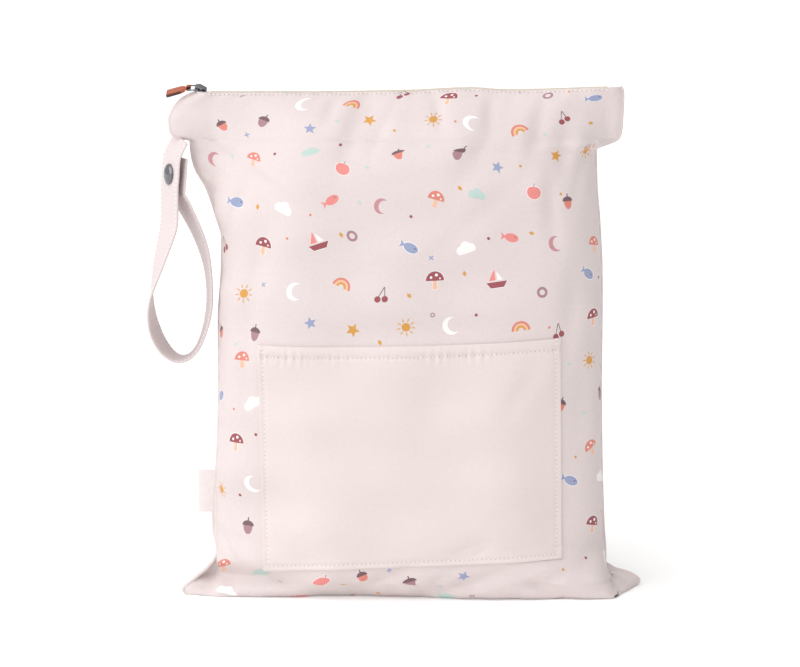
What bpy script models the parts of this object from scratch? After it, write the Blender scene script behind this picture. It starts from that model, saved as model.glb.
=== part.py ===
"""A zipped cloth wet bag, stuffed full and standing on its flat base.

Metres, +Z up, front towards -Y. The origin is the middle of the base, on the ground.
Tables hold their lengths as shares of the named sizes.
"""

import math
from collections import namedtuple

import bmesh
import bpy
import numpy as np
from mathutils import Matrix, Vector

# the bag: width across the flat cloth from seam to seam, height and depth as it stands
FLAT_WIDTH = 0.300
BAG_HEIGHT = 0.331
BAG_DEPTH = 0.102
CLOTH_WALL = 0.0015
SEAM_EDGE = 0.0026
HEM_MARGIN = 0.0042

# the patch pocket
POCKET_WIDTH = 0.194
POCKET_HEIGHT = 0.144
POCKET_LIFT = 0.0198
POCKET_CLOTH = 0.0012

# the zip
TAPE_THICKNESS = 0.0007
COIL_WIDTH = 0.0046
COIL_HEIGHT = 0.0019
SLIDER_LENGTH = 0.0080
SLIDER_WIDTH = 0.0056
SLIDER_WALL = 0.0008
LINK_WIRE = 0.0010
LINK_LENGTH = 0.0066
TAB_LENGTH = 0.0150
TAB_NECK = 0.0036
TAB_WIDTH = 0.0084
TAB_THICKNESS = 0.0021
TAB_SLOPE = 17.0
PULL_ROLL = 22.0

# the hanging strap and its snap
STRAP_WIDTH = 0.028
STRAP_THICKNESS = 0.0016
STRAP_DROP = 0.1475
STRAP_REACH = 0.040
CAP_RADIUS = 0.0069
CAP_RIM = 0.0007
CAP_DOME = 0.0019
SOCKET_RADIUS = 0.0056
SOCKET_HEIGHT = 0.0013
STUD_RADIUS = 0.0048
STUD_HEIGHT = 0.0012
BACK_RADIUS = 0.0056
BACK_HEIGHT = 0.0009

# the side label
LABEL_HEIGHT = 0.028
LABEL_REACH = 0.0100
LABEL_LIFT = 0.050
LABEL_THICKNESS = 0.0009

# what touching pieces keep between them
CLEARANCE = 0.0003
PATCH_CLEARANCE = 0.00055

HALF_WIDTH = FLAT_WIDTH / 2
HALF_DEPTH = BAG_DEPTH / 2
HALF_EDGE = SEAM_EDGE / 2

# level sections of the bag, from the ground up: the height and the two side seams, the depth in
# front and behind, the depth of the ears past the stuffed part, how boxy the section is, and how
# far the left and right seams sit off the middle
Section = namedtuple("Section", "rise left right front back ear power skew")
SECTIONS = [
    Section(0.000, -0.978, 1.005, 0.82, 0.82, 0.82, 5.0, 0.24),
    Section(0.009, -0.997, 1.022, 0.90, 0.90, 0.72, 4.2, 0.24),
    Section(0.019, -0.975, 1.000, 0.94, 0.94, 0.48, 3.4, 0.23),
    Section(0.029, -0.945, 0.950, 0.96, 0.96, 0.20, 3.0, 0.21),
    Section(0.035, -0.928, 0.880, 0.97, 0.97, 0.12, 2.8, 0.19),
    Section(0.046, -0.895, 0.868, 0.98, 0.98, 0.12, 2.6, 0.17),
    Section(0.075, -0.850, 0.868, 1.00, 1.00, 0.12, 2.7, 0.12),
    Section(0.115, -0.871, 0.862, 1.01, 1.01, 0.12, 2.7, 0.08),
    Section(0.157, -0.873, 0.857, 1.02, 1.01, 0.12, 2.7, 0.06),
    Section(0.250, -0.855, 0.848, 1.02, 1.00, 0.12, 2.7, 0.02),
    Section(0.335, -0.845, 0.843, 1.01, 0.99, 0.12, 2.7, 0.00),
    Section(0.430, -0.840, 0.840, 1.00, 0.98, 0.12, 2.7, 0.00),
    Section(0.540, -0.838, 0.840, 0.99, 0.98, 0.12, 2.7, 0.00),
    Section(0.645, -0.822, 0.837, 0.97, 0.96, 0.12, 2.6, 0.00),
    Section(0.705, -0.819, 0.830, 0.96, 0.95, 0.12, 2.5, 0.00),
    Section(0.745, -0.843, 0.824, 0.945, 0.93, 0.12, 2.5, 0.00),
    Section(0.803, -0.885, 0.819, 0.91, 0.90, 0.20, 2.4, 0.00),
    Section(0.846, -0.936, 0.818, 0.86, 0.85, 0.18, 2.4, 0.00),
    Section(0.879, -0.950, 0.818, 0.80, 0.79, 0.15, 2.4, 0.00),
    Section(0.900, -0.953, 0.905, 0.75, 0.74, 0.13, 2.4, 0.00),
    Section(0.908, -1.028, 0.921, 0.73, 0.72, 0.13, 2.4, 0.00),
    Section(0.924, -1.042, 0.933, 0.665, 0.66, 0.14, 2.4, 0.00),
    Section(0.942, -1.044, 0.937, 0.575, 0.57, 0.14, 2.4, 0.00),
    Section(0.960, -1.030, 0.941, 0.46, 0.46, 0.14, 2.5, 0.00),
    Section(0.980, -1.000, 0.942, 0.31, 0.31, 0.14, 2.8, 0.00),
    Section(0.993, -0.960, 0.940, 0.20, 0.20, 0.14, 4.0, 0.00),
    Section(1.000, -0.925, 0.926, 0.140, 0.140, 0.14, 6.0, 0.00),
]

# how far the stuffed part reaches to each side, over how much the ears grow out of it, and where
# the top ears begin
BODY_REACH = 0.855
EAR_ONSET = 0.06
EAR_RISE = 0.900

# dents and creases: where across and up, which way they run, half length, half width and depth;
# across, along and wide are shares of half the width, deep is a share of half the depth
Fold = namedtuple("Fold", "side across rise angle along wide deep")
FOLDS = [
    Fold("front", -0.68, 0.925, -12.0, 0.34, 0.060, 0.085),
    Fold("front", -0.50, 0.895, -20.0, 0.30, 0.050, -0.045),
    Fold("front", -0.17, 0.955, 80.0, 0.12, 0.045, 0.060),
    Fold("front", 0.66, 0.870, 84.0, 0.15, 0.055, 0.095),
    Fold("front", 0.50, 0.900, 68.0, 0.13, 0.050, -0.035),
    Fold("front", -0.85, 0.830, 55.0, 0.13, 0.040, 0.080),
    Fold("front", -0.78, 0.060, -54.0, 0.13, 0.045, 0.090),
    Fold("front", 0.75, 0.400, 86.0, 0.22, 0.050, 0.055),
    Fold("front", -0.28, 0.000, 0.0, 0.34, 0.080, 0.200),
    Fold("front", -0.38, 0.045, 38.0, 0.12, 0.045, -0.040),
    Fold("front", 0.80, 0.075, 40.0, 0.10, 0.050, 0.055),
    Fold("back", 0.62, 0.890, 20.0, 0.30, 0.070, 0.080),
    Fold("back", -0.70, 0.880, -60.0, 0.20, 0.060, 0.080),
    Fold("back", 0.10, 0.930, 86.0, 0.16, 0.060, 0.060),
    Fold("back", -0.20, 0.030, 4.0, 0.40, 0.120, 0.110),
]

# the top line's slow rise and dip, across it and as a share of the height
TOP_LINE = [(-1.05, -0.009), (-0.48, -0.009), (0.00, -0.006), (0.26, -0.001), (0.42, -0.005), (0.76, -0.003), (1.00, -0.001)]
TOP_LINE_FROM = 0.80

# the strap's middle line from its root down, round and back up behind the snap: shares of the reach
# to the side, of the drop downwards and of the width in depth, and the way the outer face turns;
# the band runs straight past the snap
Station = namedtuple("Station", "across down depth yaw")
SNAP_DOWN = 0.160
END_DOWN = 0.112
SNAP_FLAT = 0.065
STATIONS = [
    Station(0.01, 0.000, 0.00, 62.0),
    Station(-0.08, 0.045, 0.00, 62.0),
    Station(-0.150, SNAP_DOWN - SNAP_FLAT, 0.00, 62.0),
    Station(-0.170, SNAP_DOWN, 0.00, 62.0),
    Station(-0.190, SNAP_DOWN + SNAP_FLAT, 0.00, 62.0),
    Station(-0.195, 0.300, 0.00, 62.0),
    Station(-0.195, 0.370, 0.00, 62.0),
    Station(-0.265, 0.445, 0.00, 65.0),
    Station(-0.355, 0.525, 0.00, 70.0),
    Station(-0.430, 0.600, 0.00, 76.0),
    Station(-0.500, 0.670, 0.00, 83.0),
    Station(-0.535, 0.740, 0.00, 90.0),
    Station(-0.520, 0.810, 0.01, 95.0),
    Station(-0.455, 0.875, 0.03, 98.0),
    Station(-0.345, 0.935, 0.05, 98.0),
    Station(-0.195, 0.980, 0.07, 95.0),
    Station(-0.020, 1.000, 0.10, 91.0),
    Station(0.140, 0.978, 0.14, 87.0),
    Station(0.265, 0.925, 0.18, 84.0),
    Station(0.350, 0.860, 0.21, 82.0),
    Station(0.410, 0.790, 0.24, 80.0),
    Station(0.435, 0.715, 0.25, 79.0),
    Station(0.425, 0.640, 0.25, 78.0),
    Station(0.390, 0.560, 0.24, 75.0),
    Station(0.325, 0.485, 0.21, 71.0),
    Station(0.225, 0.410, 0.17, 68.0),
    Station(0.110, 0.345, 0.13, 65.0),
    Station(0.000, 0.285, 0.10, 62.5),
]

COLUMNS_FRONT = 32
COLUMNS_BACK = 22
MAX_ROW_SHARE = 0.055
POCKET_COLUMNS = 18
POCKET_ROWS = 12
ZIP_COLUMNS = 30
ROUND_SIDES = 20


def clear_scene():
    for obj in list(bpy.data.objects):
        bpy.data.objects.remove(obj, do_unlink=True)


def make_material(name, colour, roughness, metallic=0.0):
    material = bpy.data.materials.new(name)
    material.use_nodes = True
    shader = material.node_tree.nodes["Principled BSDF"]
    shader.inputs["Base Color"].default_value = (colour[0], colour[1], colour[2], 1.0)
    shader.inputs["Roughness"].default_value = roughness
    shader.inputs["Metallic"].default_value = metallic
    return material


def add_object(name, mesh, material, parent, crease=40.0):
    mesh.materials.append(material)
    mesh.shade_smooth()
    mesh.set_sharp_from_angle(angle=math.radians(crease))
    obj = bpy.data.objects.new(name, mesh)
    bpy.context.scene.collection.objects.link(obj)
    obj.parent = parent
    return obj


def finish_mesh(name, shape):
    bmesh.ops.recalc_face_normals(shape, faces=shape.faces)
    mesh = bpy.data.meshes.new(name)
    shape.to_mesh(mesh)
    shape.free()
    return mesh


def smooth_curve(knots, values, at):
    """A curve through the knots that never swings past them."""
    knots = np.asarray(knots, dtype=float)
    values = np.asarray(values, dtype=float)
    at = np.clip(np.asarray(at, dtype=float), knots[0], knots[-1])
    steps = np.diff(knots)
    slopes = np.diff(values) / steps
    tangents = np.zeros(len(knots))
    tangents[0] = slopes[0]
    tangents[-1] = slopes[-1]
    for i in range(1, len(knots) - 1):
        if slopes[i - 1] * slopes[i] > 0:
            first = 2 * steps[i] + steps[i - 1]
            second = steps[i] + 2 * steps[i - 1]
            tangents[i] = (first + second) / (first / slopes[i - 1] + second / slopes[i])
    index = np.clip(np.searchsorted(knots, at, side="right") - 1, 0, len(steps) - 1)
    span = steps[index]
    t = (at - knots[index]) / span
    return (
        values[index] * (1 + 2 * t) * (1 - t) ** 2
        + tangents[index] * span * t * (1 - t) ** 2
        + values[index + 1] * t * t * (3 - 2 * t)
        + tangents[index + 1] * span * t * t * (t - 1)
    )


RISES = [section.rise for section in SECTIONS]
COLUMNS = {name: [getattr(section, name) for section in SECTIONS] for name in Section._fields}


def section_at(rise):
    return Section(*(float(smooth_curve(RISES, COLUMNS[name], rise)) for name in Section._fields))


def row_levels():
    """Every section's height, with more between those that lie far apart."""
    levels = [RISES[0]]
    for low, high in zip(RISES, RISES[1:]):
        count = max(1, math.ceil((high - low) / MAX_ROW_SHARE))
        levels.extend(low + (high - low) * (i + 1) / count for i in range(count))
    return levels


def top_rise(x, rise):
    """How far the top line lifts or drops the cloth here."""
    weight = min(max((rise - TOP_LINE_FROM) / (1 - TOP_LINE_FROM), 0.0), 1.0) ** 2
    knots, lifts = zip(*TOP_LINE)
    return float(smooth_curve(knots, lifts, x / HALF_WIDTH)) * BAG_HEIGHT * weight


def fold_depth(side, x, z):
    total = 0.0
    for fold in FOLDS:
        if fold.side != side:
            continue
        angle = math.radians(fold.angle)
        away_x = x - fold.across * HALF_WIDTH
        away_z = z - fold.rise * BAG_HEIGHT
        along = away_x * math.cos(angle) + away_z * math.sin(angle)
        beside = away_z * math.cos(angle) - away_x * math.sin(angle)
        reach = (along / (fold.along * HALF_WIDTH)) ** 2 + (beside / (fold.wide * HALF_WIDTH)) ** 2
        total += fold.deep * HALF_DEPTH * math.exp(-reach)
    return total


def fullness(share, power):
    """How much of its depth the section has at this share of its half width."""
    return max(0.0, 1.0 - abs(share) ** power) ** (1.0 / power)


def body_fullness(x, section):
    """The same for the stuffed part alone, which eases out where an ear grows from it."""
    low = max(section.left, -BODY_REACH)
    high = min(section.right, BODY_REACH)
    share = (x / HALF_WIDTH - (low + high) / 2) / ((high - low) / 2)
    past = (-section.left if share < 0 else section.right) - BODY_REACH
    ease = min(max(past / EAR_ONSET, 0.0), 1.0)
    power = 1.0 / section.power
    return max(0.0, 1.0 - abs(share) ** section.power) ** (power + ease * (0.85 - power))


def cloth_point(side, share, rise, inset=0.0):
    """A point of the cloth: share runs from the left seam at -1 to the right one at 1."""
    section = section_at(rise)
    z = rise * BAG_HEIGHT
    edge_inset = inset * (1.0 + (HEM_MARGIN / CLOTH_WALL - 1.0) * max(0.0, (rise - 0.95) / 0.05))
    left = section.left * HALF_WIDTH + edge_inset
    right = section.right * HALF_WIDTH - edge_inset
    x = (left + right) / 2 + (right - left) / 2 * share
    body = body_fullness(x, section)
    depth = (section.front if side == "front" else section.back) * HALF_DEPTH
    rim = HALF_EDGE if inset == 0.0 else CLEARANCE
    ear = section.ear * HALF_DEPTH
    swell = fullness(share, section.power)
    half = rim + (ear - inset - rim) * swell + (depth - ear) * body
    seam = section.skew * HALF_DEPTH * share * (1.0 - swell)
    give = fold_depth(side, x, z) * min(1.0, body * 1.4) * min(1.0, section.front * 3.0)
    half = max(half - give, rim)
    sign = -1.0 if side == "front" else 1.0
    return Vector((x, seam + sign * half, z + top_rise(x, rise)))


def column_shares(count, power):
    """Columns across a panel, closer where the section turns."""
    fine = np.linspace(-math.pi / 2, math.pi / 2, 721)
    across = np.sign(np.sin(fine)) * np.abs(np.sin(fine)) ** (2 / power)
    out = np.abs(np.cos(fine)) ** (2 / power)
    step = np.hypot(np.diff(across * 0.84 * HALF_WIDTH), np.diff(out * HALF_DEPTH))
    way = np.arctan2(np.diff(out * HALF_DEPTH), np.diff(across * 0.84 * HALF_WIDTH))
    turn = np.abs(np.diff(way, append=way[-1]))
    weight = 0.72 * step / step.sum() + 0.28 * turn / turn.sum()
    run = np.concatenate([[0.0], np.cumsum(weight)])
    return np.interp(np.linspace(0.0, run[-1], count + 1), run, across)


def bag_ring(shape, rise, inset):
    front = [shape.verts.new(cloth_point("front", s, rise, inset)) for s in column_shares(COLUMNS_FRONT, 2.6)]
    back = [shape.verts.new(cloth_point("back", s, rise, inset)) for s in column_shares(COLUMNS_BACK, 2.6)]
    return front + back[::-1]


def bridge(shape, first, second):
    count = len(first)
    for i in range(count):
        j = (i + 1) % count
        shape.faces.new((first[i], first[j], second[j], second[i]))


def make_bag(material, parent):
    shape = bmesh.new()
    levels = row_levels()
    outer = [bag_ring(shape, rise, 0.0) for rise in levels]
    floor = CLOTH_WALL / BAG_HEIGHT
    inner_levels = [floor] + [rise for rise in levels if rise > 2 * floor]
    inner = [bag_ring(shape, rise, CLOTH_WALL) for rise in inner_levels]
    for low, high in zip(outer, outer[1:]):
        bridge(shape, low, high)
    for low, high in zip(inner, inner[1:]):
        bridge(shape, high, low)
    bridge(shape, outer[-1], inner[-1])
    shape.faces.new(outer[0][::-1])
    shape.faces.new(inner[0])
    bmesh.ops.triangulate(shape, faces=[face for face in shape.faces if len(face.verts) > 4])
    return add_object("bag_body", finish_mesh("bag_body", shape), material, parent, crease=60.0)


def front_at(x, z):
    """The front cloth at this place, for what is sewn to it."""
    section = section_at(z / BAG_HEIGHT)
    middle = (section.left + section.right) / 2 * HALF_WIDTH
    half = (section.right - section.left) / 2 * HALF_WIDTH
    return cloth_point("front", (x - middle) / half, z / BAG_HEIGHT)


def front_normal(x, z):
    step = 0.002
    across = front_at(x + step, z) - front_at(x - step, z)
    up = front_at(x, z + step) - front_at(x, z - step)
    normal = across.cross(up).normalized()
    return normal if normal.y < 0 else -normal


def pocket_bottom(share):
    return POCKET_LIFT + POCKET_HEIGHT * (0.002 + 0.018 * share + 0.035 * share * share)


def pocket_top(share):
    return POCKET_LIFT + POCKET_HEIGHT * (1.006 + 0.020 * share + 0.029 * share * share)


def make_pocket(material, parent):
    shape = bmesh.new()
    grids = {0: [], 1: []}
    for row in range(POCKET_ROWS + 1):
        up = (row / POCKET_ROWS) ** 1.3
        lines = {0: [], 1: []}
        for column in range(POCKET_COLUMNS + 1):
            share = math.sin(math.pi / 2 * (2 * column / POCKET_COLUMNS - 1) * 0.8) / math.sin(math.pi / 2 * 0.8)
            x = POCKET_WIDTH * (share / 2 + 0.008 - 0.011 * up)
            z = pocket_bottom(share) * (1 - up) + pocket_top(share) * up
            base = front_at(x, z)
            normal = front_normal(x, z)
            lines[0].append(shape.verts.new(base + normal * PATCH_CLEARANCE))
            lines[1].append(shape.verts.new(base + normal * (PATCH_CLEARANCE + POCKET_CLOTH)))
        grids[0].append(lines[0])
        grids[1].append(lines[1])
    for layer in (0, 1):
        for low, high in zip(grids[layer], grids[layer][1:]):
            for i in range(POCKET_COLUMNS):
                shape.faces.new((low[i], low[i + 1], high[i + 1], high[i]))
    rims = []
    for layer in (0, 1):
        grid = grids[layer]
        rim = list(grid[0]) + [line[-1] for line in grid[1:]] + list(grid[-1][-2::-1])
        rim += [line[0] for line in grid[-2:0:-1]]
        rims.append(rim)
    bridge(shape, rims[0], rims[1])
    return add_object("front_pocket", finish_mesh("front_pocket", shape), material, parent, crease=50.0)


def zip_end(side):
    """How far the slot reaches at the top, to the left or to the right."""
    if side == "left":
        return SECTIONS[-1].left * HALF_WIDTH + HEM_MARGIN
    return SECTIONS[-1].right * HALF_WIDTH - HEM_MARGIN


def slot_half():
    return SECTIONS[-1].front * HALF_DEPTH - CLOTH_WALL


def top_at(x):
    return BAG_HEIGHT + top_rise(x, 1.0)


def slot_half_at(x):
    """Half of the slot's width here, as it closes towards its ends."""
    middle = (zip_end("left") + zip_end("right")) / 2
    half = (zip_end("right") - zip_end("left")) / 2
    share = (x - middle) / half
    return CLEARANCE + (slot_half() - CLEARANCE) * fullness(share, SECTIONS[-1].power)


def sweep_bar(name, stations, profile, material, parent, crease=40.0):
    """A bar with a closed profile at each station, with flat ends."""
    shape = bmesh.new()
    rings = [[shape.verts.new(point) for point in profile(station)] for station in stations]
    for first, second in zip(rings, rings[1:]):
        bridge(shape, first, second)
    shape.faces.new(rings[0][::-1])
    shape.faces.new(rings[-1])
    return add_object(name, finish_mesh(name, shape), material, parent, crease=crease)


def zip_stations(inset):
    low = zip_end("left") + inset
    high = zip_end("right") - inset
    return [low + (high - low) * i / ZIP_COLUMNS for i in range(ZIP_COLUMNS + 1)]


def make_tape(name, side, material, parent):
    sign = -1.0 if side == "front" else 1.0
    inner = CLEARANCE / 2 + 0.0001

    def profile(x):
        top = top_at(x) - SEAM_EDGE * 0.35
        outer = slot_half_at(x) - 2 * CLEARANCE
        low = top - TAPE_THICKNESS
        return [
            Vector((x, sign * inner, low)),
            Vector((x, sign * outer, low)),
            Vector((x, sign * outer, top)),
            Vector((x, sign * inner, top)),
        ]

    return sweep_bar(name, zip_stations(0.3 * HEM_MARGIN), profile, material, parent)


def coil_floor(x):
    return top_at(x) - SEAM_EDGE * 0.35 + CLEARANCE


def pull_place():
    """The slider's own frame: just past the coil's end, on the hem, rolled towards the front."""
    middle = zip_end("left") - 0.20 * SLIDER_LENGTH
    roll = math.radians(PULL_ROLL)
    base = top_at(zip_end("left")) + CLEARANCE + SLIDER_WIDTH / 2 * math.sin(roll)
    return Matrix.Translation((middle, 0.0, base)) @ Matrix.Rotation(roll, 4, "X")


def make_coil(material, parent):
    def profile(x):
        low = coil_floor(x)
        half = COIL_WIDTH / 2
        shares = [(-1.0, 0.0), (-0.92, 0.62), (-0.5, 1.0), (0.5, 1.0), (0.92, 0.62), (1.0, 0.0)]
        return [Vector((x, across * half, low + up * COIL_HEIGHT)) for across, up in shares]

    return sweep_bar("zip_coil", zip_stations(0.8 * HEM_MARGIN), profile, material, parent)


def prism(name, points, faces, low, high, place, material, parent):
    """Flat faces in X and Z, thickened along Y between low and high at each point."""
    shape = bmesh.new()
    near = [shape.verts.new(place @ Vector((x, low(x), z))) for x, z in points]
    far = [shape.verts.new(place @ Vector((x, high(x), z))) for x, z in points]
    sides = {}
    for face in faces:
        shape.faces.new([near[i] for i in face])
        shape.faces.new([far[i] for i in face[::-1]])
        for a, b in zip(face, face[1:] + face[:1]):
            if (b, a) in sides:
                del sides[(b, a)]
            else:
                sides[(a, b)] = True
    for a, b in sides:
        shape.faces.new((near[a], far[a], far[b], near[b]))
    return add_object(name, finish_mesh(name, shape), material, parent)


def bridge_hole():
    return LINK_WIRE + 2 * CLEARANCE


def make_slider(material, parent):
    """A plate with the link's bridge on top."""
    length = SLIDER_LENGTH
    wall = SLIDER_WALL
    hole = bridge_hole()
    posts = (-0.5 * length, -0.30 * length, -0.30 * length + hole + wall * 0.6, 0.5 * length)
    points = [
        (posts[0], 0.0),
        (posts[1], 0.0),
        (posts[2], 0.0),
        (posts[3], 0.0),
        (posts[0], wall),
        (posts[1], wall),
        (posts[2], wall),
        (posts[3], wall * 0.7),
        (posts[0] + wall * 0.2, wall + hole * 0.6),
        (posts[1], wall + hole),
        (posts[2], wall + hole),
        (posts[3] - wall, wall * 1.6),
        (posts[0] + wall, wall + hole + wall * 0.7),
        (posts[1], wall + hole + wall),
        (posts[2], wall + hole + wall),
        (posts[3] - 2 * wall, wall + hole * 0.55),
    ]
    faces = [
        [0, 1, 5, 4],
        [1, 2, 6, 5],
        [2, 3, 7, 6],
        [4, 5, 9, 8],
        [8, 9, 13, 12],
        [9, 10, 14, 13],
        [6, 7, 11, 15],
        [6, 15, 14, 10],
    ]
    half = SLIDER_WIDTH / 2

    def reach(x):
        return half * (0.72 + 0.28 * math.cos(math.pi * x / (1.3 * length)))

    return prism(
        "zip_slider", points, faces, lambda x: -reach(x), lambda x: reach(x), pull_place(), material, parent
    )


def link_start():
    """The bar of the link that lies under the slider's bridge, in the slider's frame."""
    x = -0.30 * SLIDER_LENGTH + (bridge_hole() + SLIDER_WALL * 0.6) / 2
    return Vector((x, 0.0, SLIDER_WALL + bridge_hole() / 2))


def make_link(material, parent):
    """A wire ring: long sides outside the bridge, one end under it and one in the tab."""
    shape = bmesh.new()
    start = link_start()
    place = pull_place()
    radius = LINK_WIRE / 2
    half = SLIDER_WIDTH / 2 + CLEARANCE + radius
    corner = 0.30 * half
    far = -LINK_LENGTH
    outline = []
    for centre_x, centre_y, first in (
        (-corner, half - corner, 90.0),
        (far + corner, half - corner, 180.0),
        (far + corner, corner - half, 270.0),
        (-corner, corner - half, 0.0),
    ):
        for step in range(4):
            angle = math.radians(first - 90.0 + 30.0 * step)
            outline.append((centre_x + corner * math.cos(angle), centre_y + corner * math.sin(angle)))
    rings = []
    count = len(outline)
    for i in range(count):
        x, y = outline[i]
        before = Vector((*outline[i - 1], 0.0))
        after = Vector((*outline[(i + 1) % count], 0.0))
        along = (after - before).normalized()
        side = along.cross(Vector((0.0, 0.0, 1.0)))
        ring = []
        for k in range(8):
            angle = math.radians(45.0 * k)
            offset = side * (radius * math.cos(angle)) + Vector((0.0, 0.0, radius * math.sin(angle)))
            ring.append(shape.verts.new(place @ (start + Vector((x, y, 0.0)) + offset)))
        rings.append(ring)
    for i in range(count):
        bridge(shape, rings[i], rings[(i + 1) % count])
    return add_object("zip_pull_link", finish_mesh("zip_pull_link", shape), material, parent)


def make_tab(material, parent):
    """A leather strip folded round the link's end and closed into a flat tab."""
    start = link_start()
    eye = LINK_WIRE / 2 + CLEARANCE
    half = TAB_THICKNESS / 2
    leather = 0.9 * half
    outer = eye + leather
    sides = 12
    points = []
    for k in range(sides):
        angle = math.radians(360.0 * (k + 0.5) / sides)
        points.append((eye * math.cos(angle), eye * math.sin(angle)))
    for k in range(sides):
        angle = math.radians(360.0 * (k + 0.5) / sides)
        points.append((outer * math.cos(angle), outer * math.sin(angle)))
    faces = [[sides + k, sides + (k + 1) % sides, (k + 1) % sides, k] for k in range(sides)]
    lower = sides + sides // 2
    upper = sides + sides // 2 - 1
    for share in (0.08, 0.18, 0.28, 0.38, 0.70, 0.94, 1.0):
        thick = half * (1.0 if share < 1.0 else 0.75)
        x = -outer - (TAB_LENGTH - outer) * share
        points.append((x, thick))
        points.append((x, -thick))
        count = len(points)
        faces.append([upper, count - 2, count - 1, lower])
        upper = count - 2
        lower = count - 1
    turn = Matrix.Rotation(math.radians(-TAB_SLOPE), 4, "Y")
    place = pull_place() @ Matrix.Translation(start + Vector((-LINK_LENGTH, 0.0, 0.0))) @ turn

    def reach(x):
        share = min(max((-x / TAB_LENGTH - 0.10) / 0.32, 0.0), 1.0)
        return (TAB_NECK + (TAB_WIDTH - TAB_NECK) * share * (2.0 - share)) / 2

    return prism(
        "zip_pull_tab", points, faces, lambda x: -reach(x), lambda x: reach(x), place, material, parent
    )


def strap_root():
    """Just under the left ear, where the band goes into the seam."""
    index = max(i for i, section in enumerate(SECTIONS[:-1]) if section.rise <= EAR_RISE)
    under = SECTIONS[index]
    over = SECTIONS[index + 1]
    rise = under.rise + 0.2 * (over.rise - under.rise)
    return Vector(((under.left - 0.045) * HALF_WIDTH, 0.0, rise * BAG_HEIGHT - CLEARANCE))


def snap_gap():
    return 3 * CLEARANCE + SOCKET_HEIGHT + STUD_HEIGHT


def outward(yaw):
    angle = math.radians(yaw)
    return Vector((-math.sin(angle), -math.cos(angle), 0.0))


def strap_place(station):
    return strap_root() + Vector(
        (station.across * STRAP_REACH, station.depth * STRAP_WIDTH, -station.down * STRAP_DROP)
    )


def band_frame(along, yaw):
    """The band's way across and out, square to the way it runs."""
    flat = outward(yaw - 90.0)
    wide = (flat - along * flat.dot(along)).normalized()
    return wide, along.cross(wide).normalized()


def snap_place():
    """The middle of the front layer at the snap, the way it faces and the way the band runs there."""
    index = next(i for i, station in enumerate(STATIONS) if station.down == SNAP_DOWN)
    along = (strap_place(STATIONS[index + 1]) - strap_place(STATIONS[index - 1])).normalized()
    return strap_place(STATIONS[index]), band_frame(along, STATIONS[index].yaw)[1], along


def strap_path():
    """The band's middle line and its outer face's turn, with the end layer behind the snap."""
    points = [strap_place(station) for station in STATIONS]
    yaws = [station.yaw for station in STATIONS]
    snap, out, along = snap_place()
    behind = snap - out * (STRAP_THICKNESS + snap_gap())
    for share in (0.075, 0.0, -0.050, END_DOWN - SNAP_DOWN - 0.030):
        points.append(behind + along * (share * STRAP_DROP))
        yaws.append(62.0)
    return points, yaws


def make_strap(material, parent):
    points, yaws = strap_path()
    run = [0.0]
    for first, second in zip(points, points[1:]):
        run.append(run[-1] + (second - first).length)
    count = 64
    at = [run[-1] * i / count for i in range(count + 1)]
    lines = [smooth_curve(run, [point[axis] for point in points], at) for axis in range(3)]
    turns = smooth_curve(run, yaws, at)
    centres = [Vector((lines[0][i], lines[1][i], lines[2][i])) for i in range(count + 1)]
    shape = bmesh.new()
    rings = []
    half = STRAP_WIDTH / 2
    thick = STRAP_THICKNESS / 2
    for i, centre in enumerate(centres):
        along = centres[min(i + 1, count)] - centres[max(i - 1, 0)]
        along.normalize()
        wide, out = band_frame(along, turns[i])
        ring = []
        for across, up in ((-1, -0.6), (-0.97, -1), (0.97, -1), (1, -0.6), (1, 0.6), (0.97, 1), (-0.97, 1), (-1, 0.6)):
            ring.append(shape.verts.new(centre + wide * (across * half) + out * (up * thick)))
        rings.append(ring)
    for first, second in zip(rings, rings[1:]):
        bridge(shape, first, second)
    shape.faces.new(rings[0][::-1])
    shape.faces.new(rings[-1])
    return add_object("hanging_strap", finish_mesh("hanging_strap", shape), material, parent, crease=50.0)


def turned(name, profile, origin, axis, material, parent):
    """A round piece: radius and height pairs from the middle of the bottom to the top."""
    shape = bmesh.new()
    turn = axis.to_track_quat("Z", "Y").to_matrix().to_4x4()
    place = Matrix.Translation(origin) @ turn
    rings = []
    for radius, height in profile:
        ring = []
        for k in range(ROUND_SIDES):
            angle = 2 * math.pi * k / ROUND_SIDES
            ring.append(shape.verts.new(place @ Vector((radius * math.cos(angle), radius * math.sin(angle), height))))
        rings.append(ring)
    for first, second in zip(rings, rings[1:]):
        bridge(shape, first, second)
    shape.faces.new(rings[0][::-1])
    shape.faces.new(rings[-1])
    return add_object(name, finish_mesh(name, shape), material, parent, crease=35.0)


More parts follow.
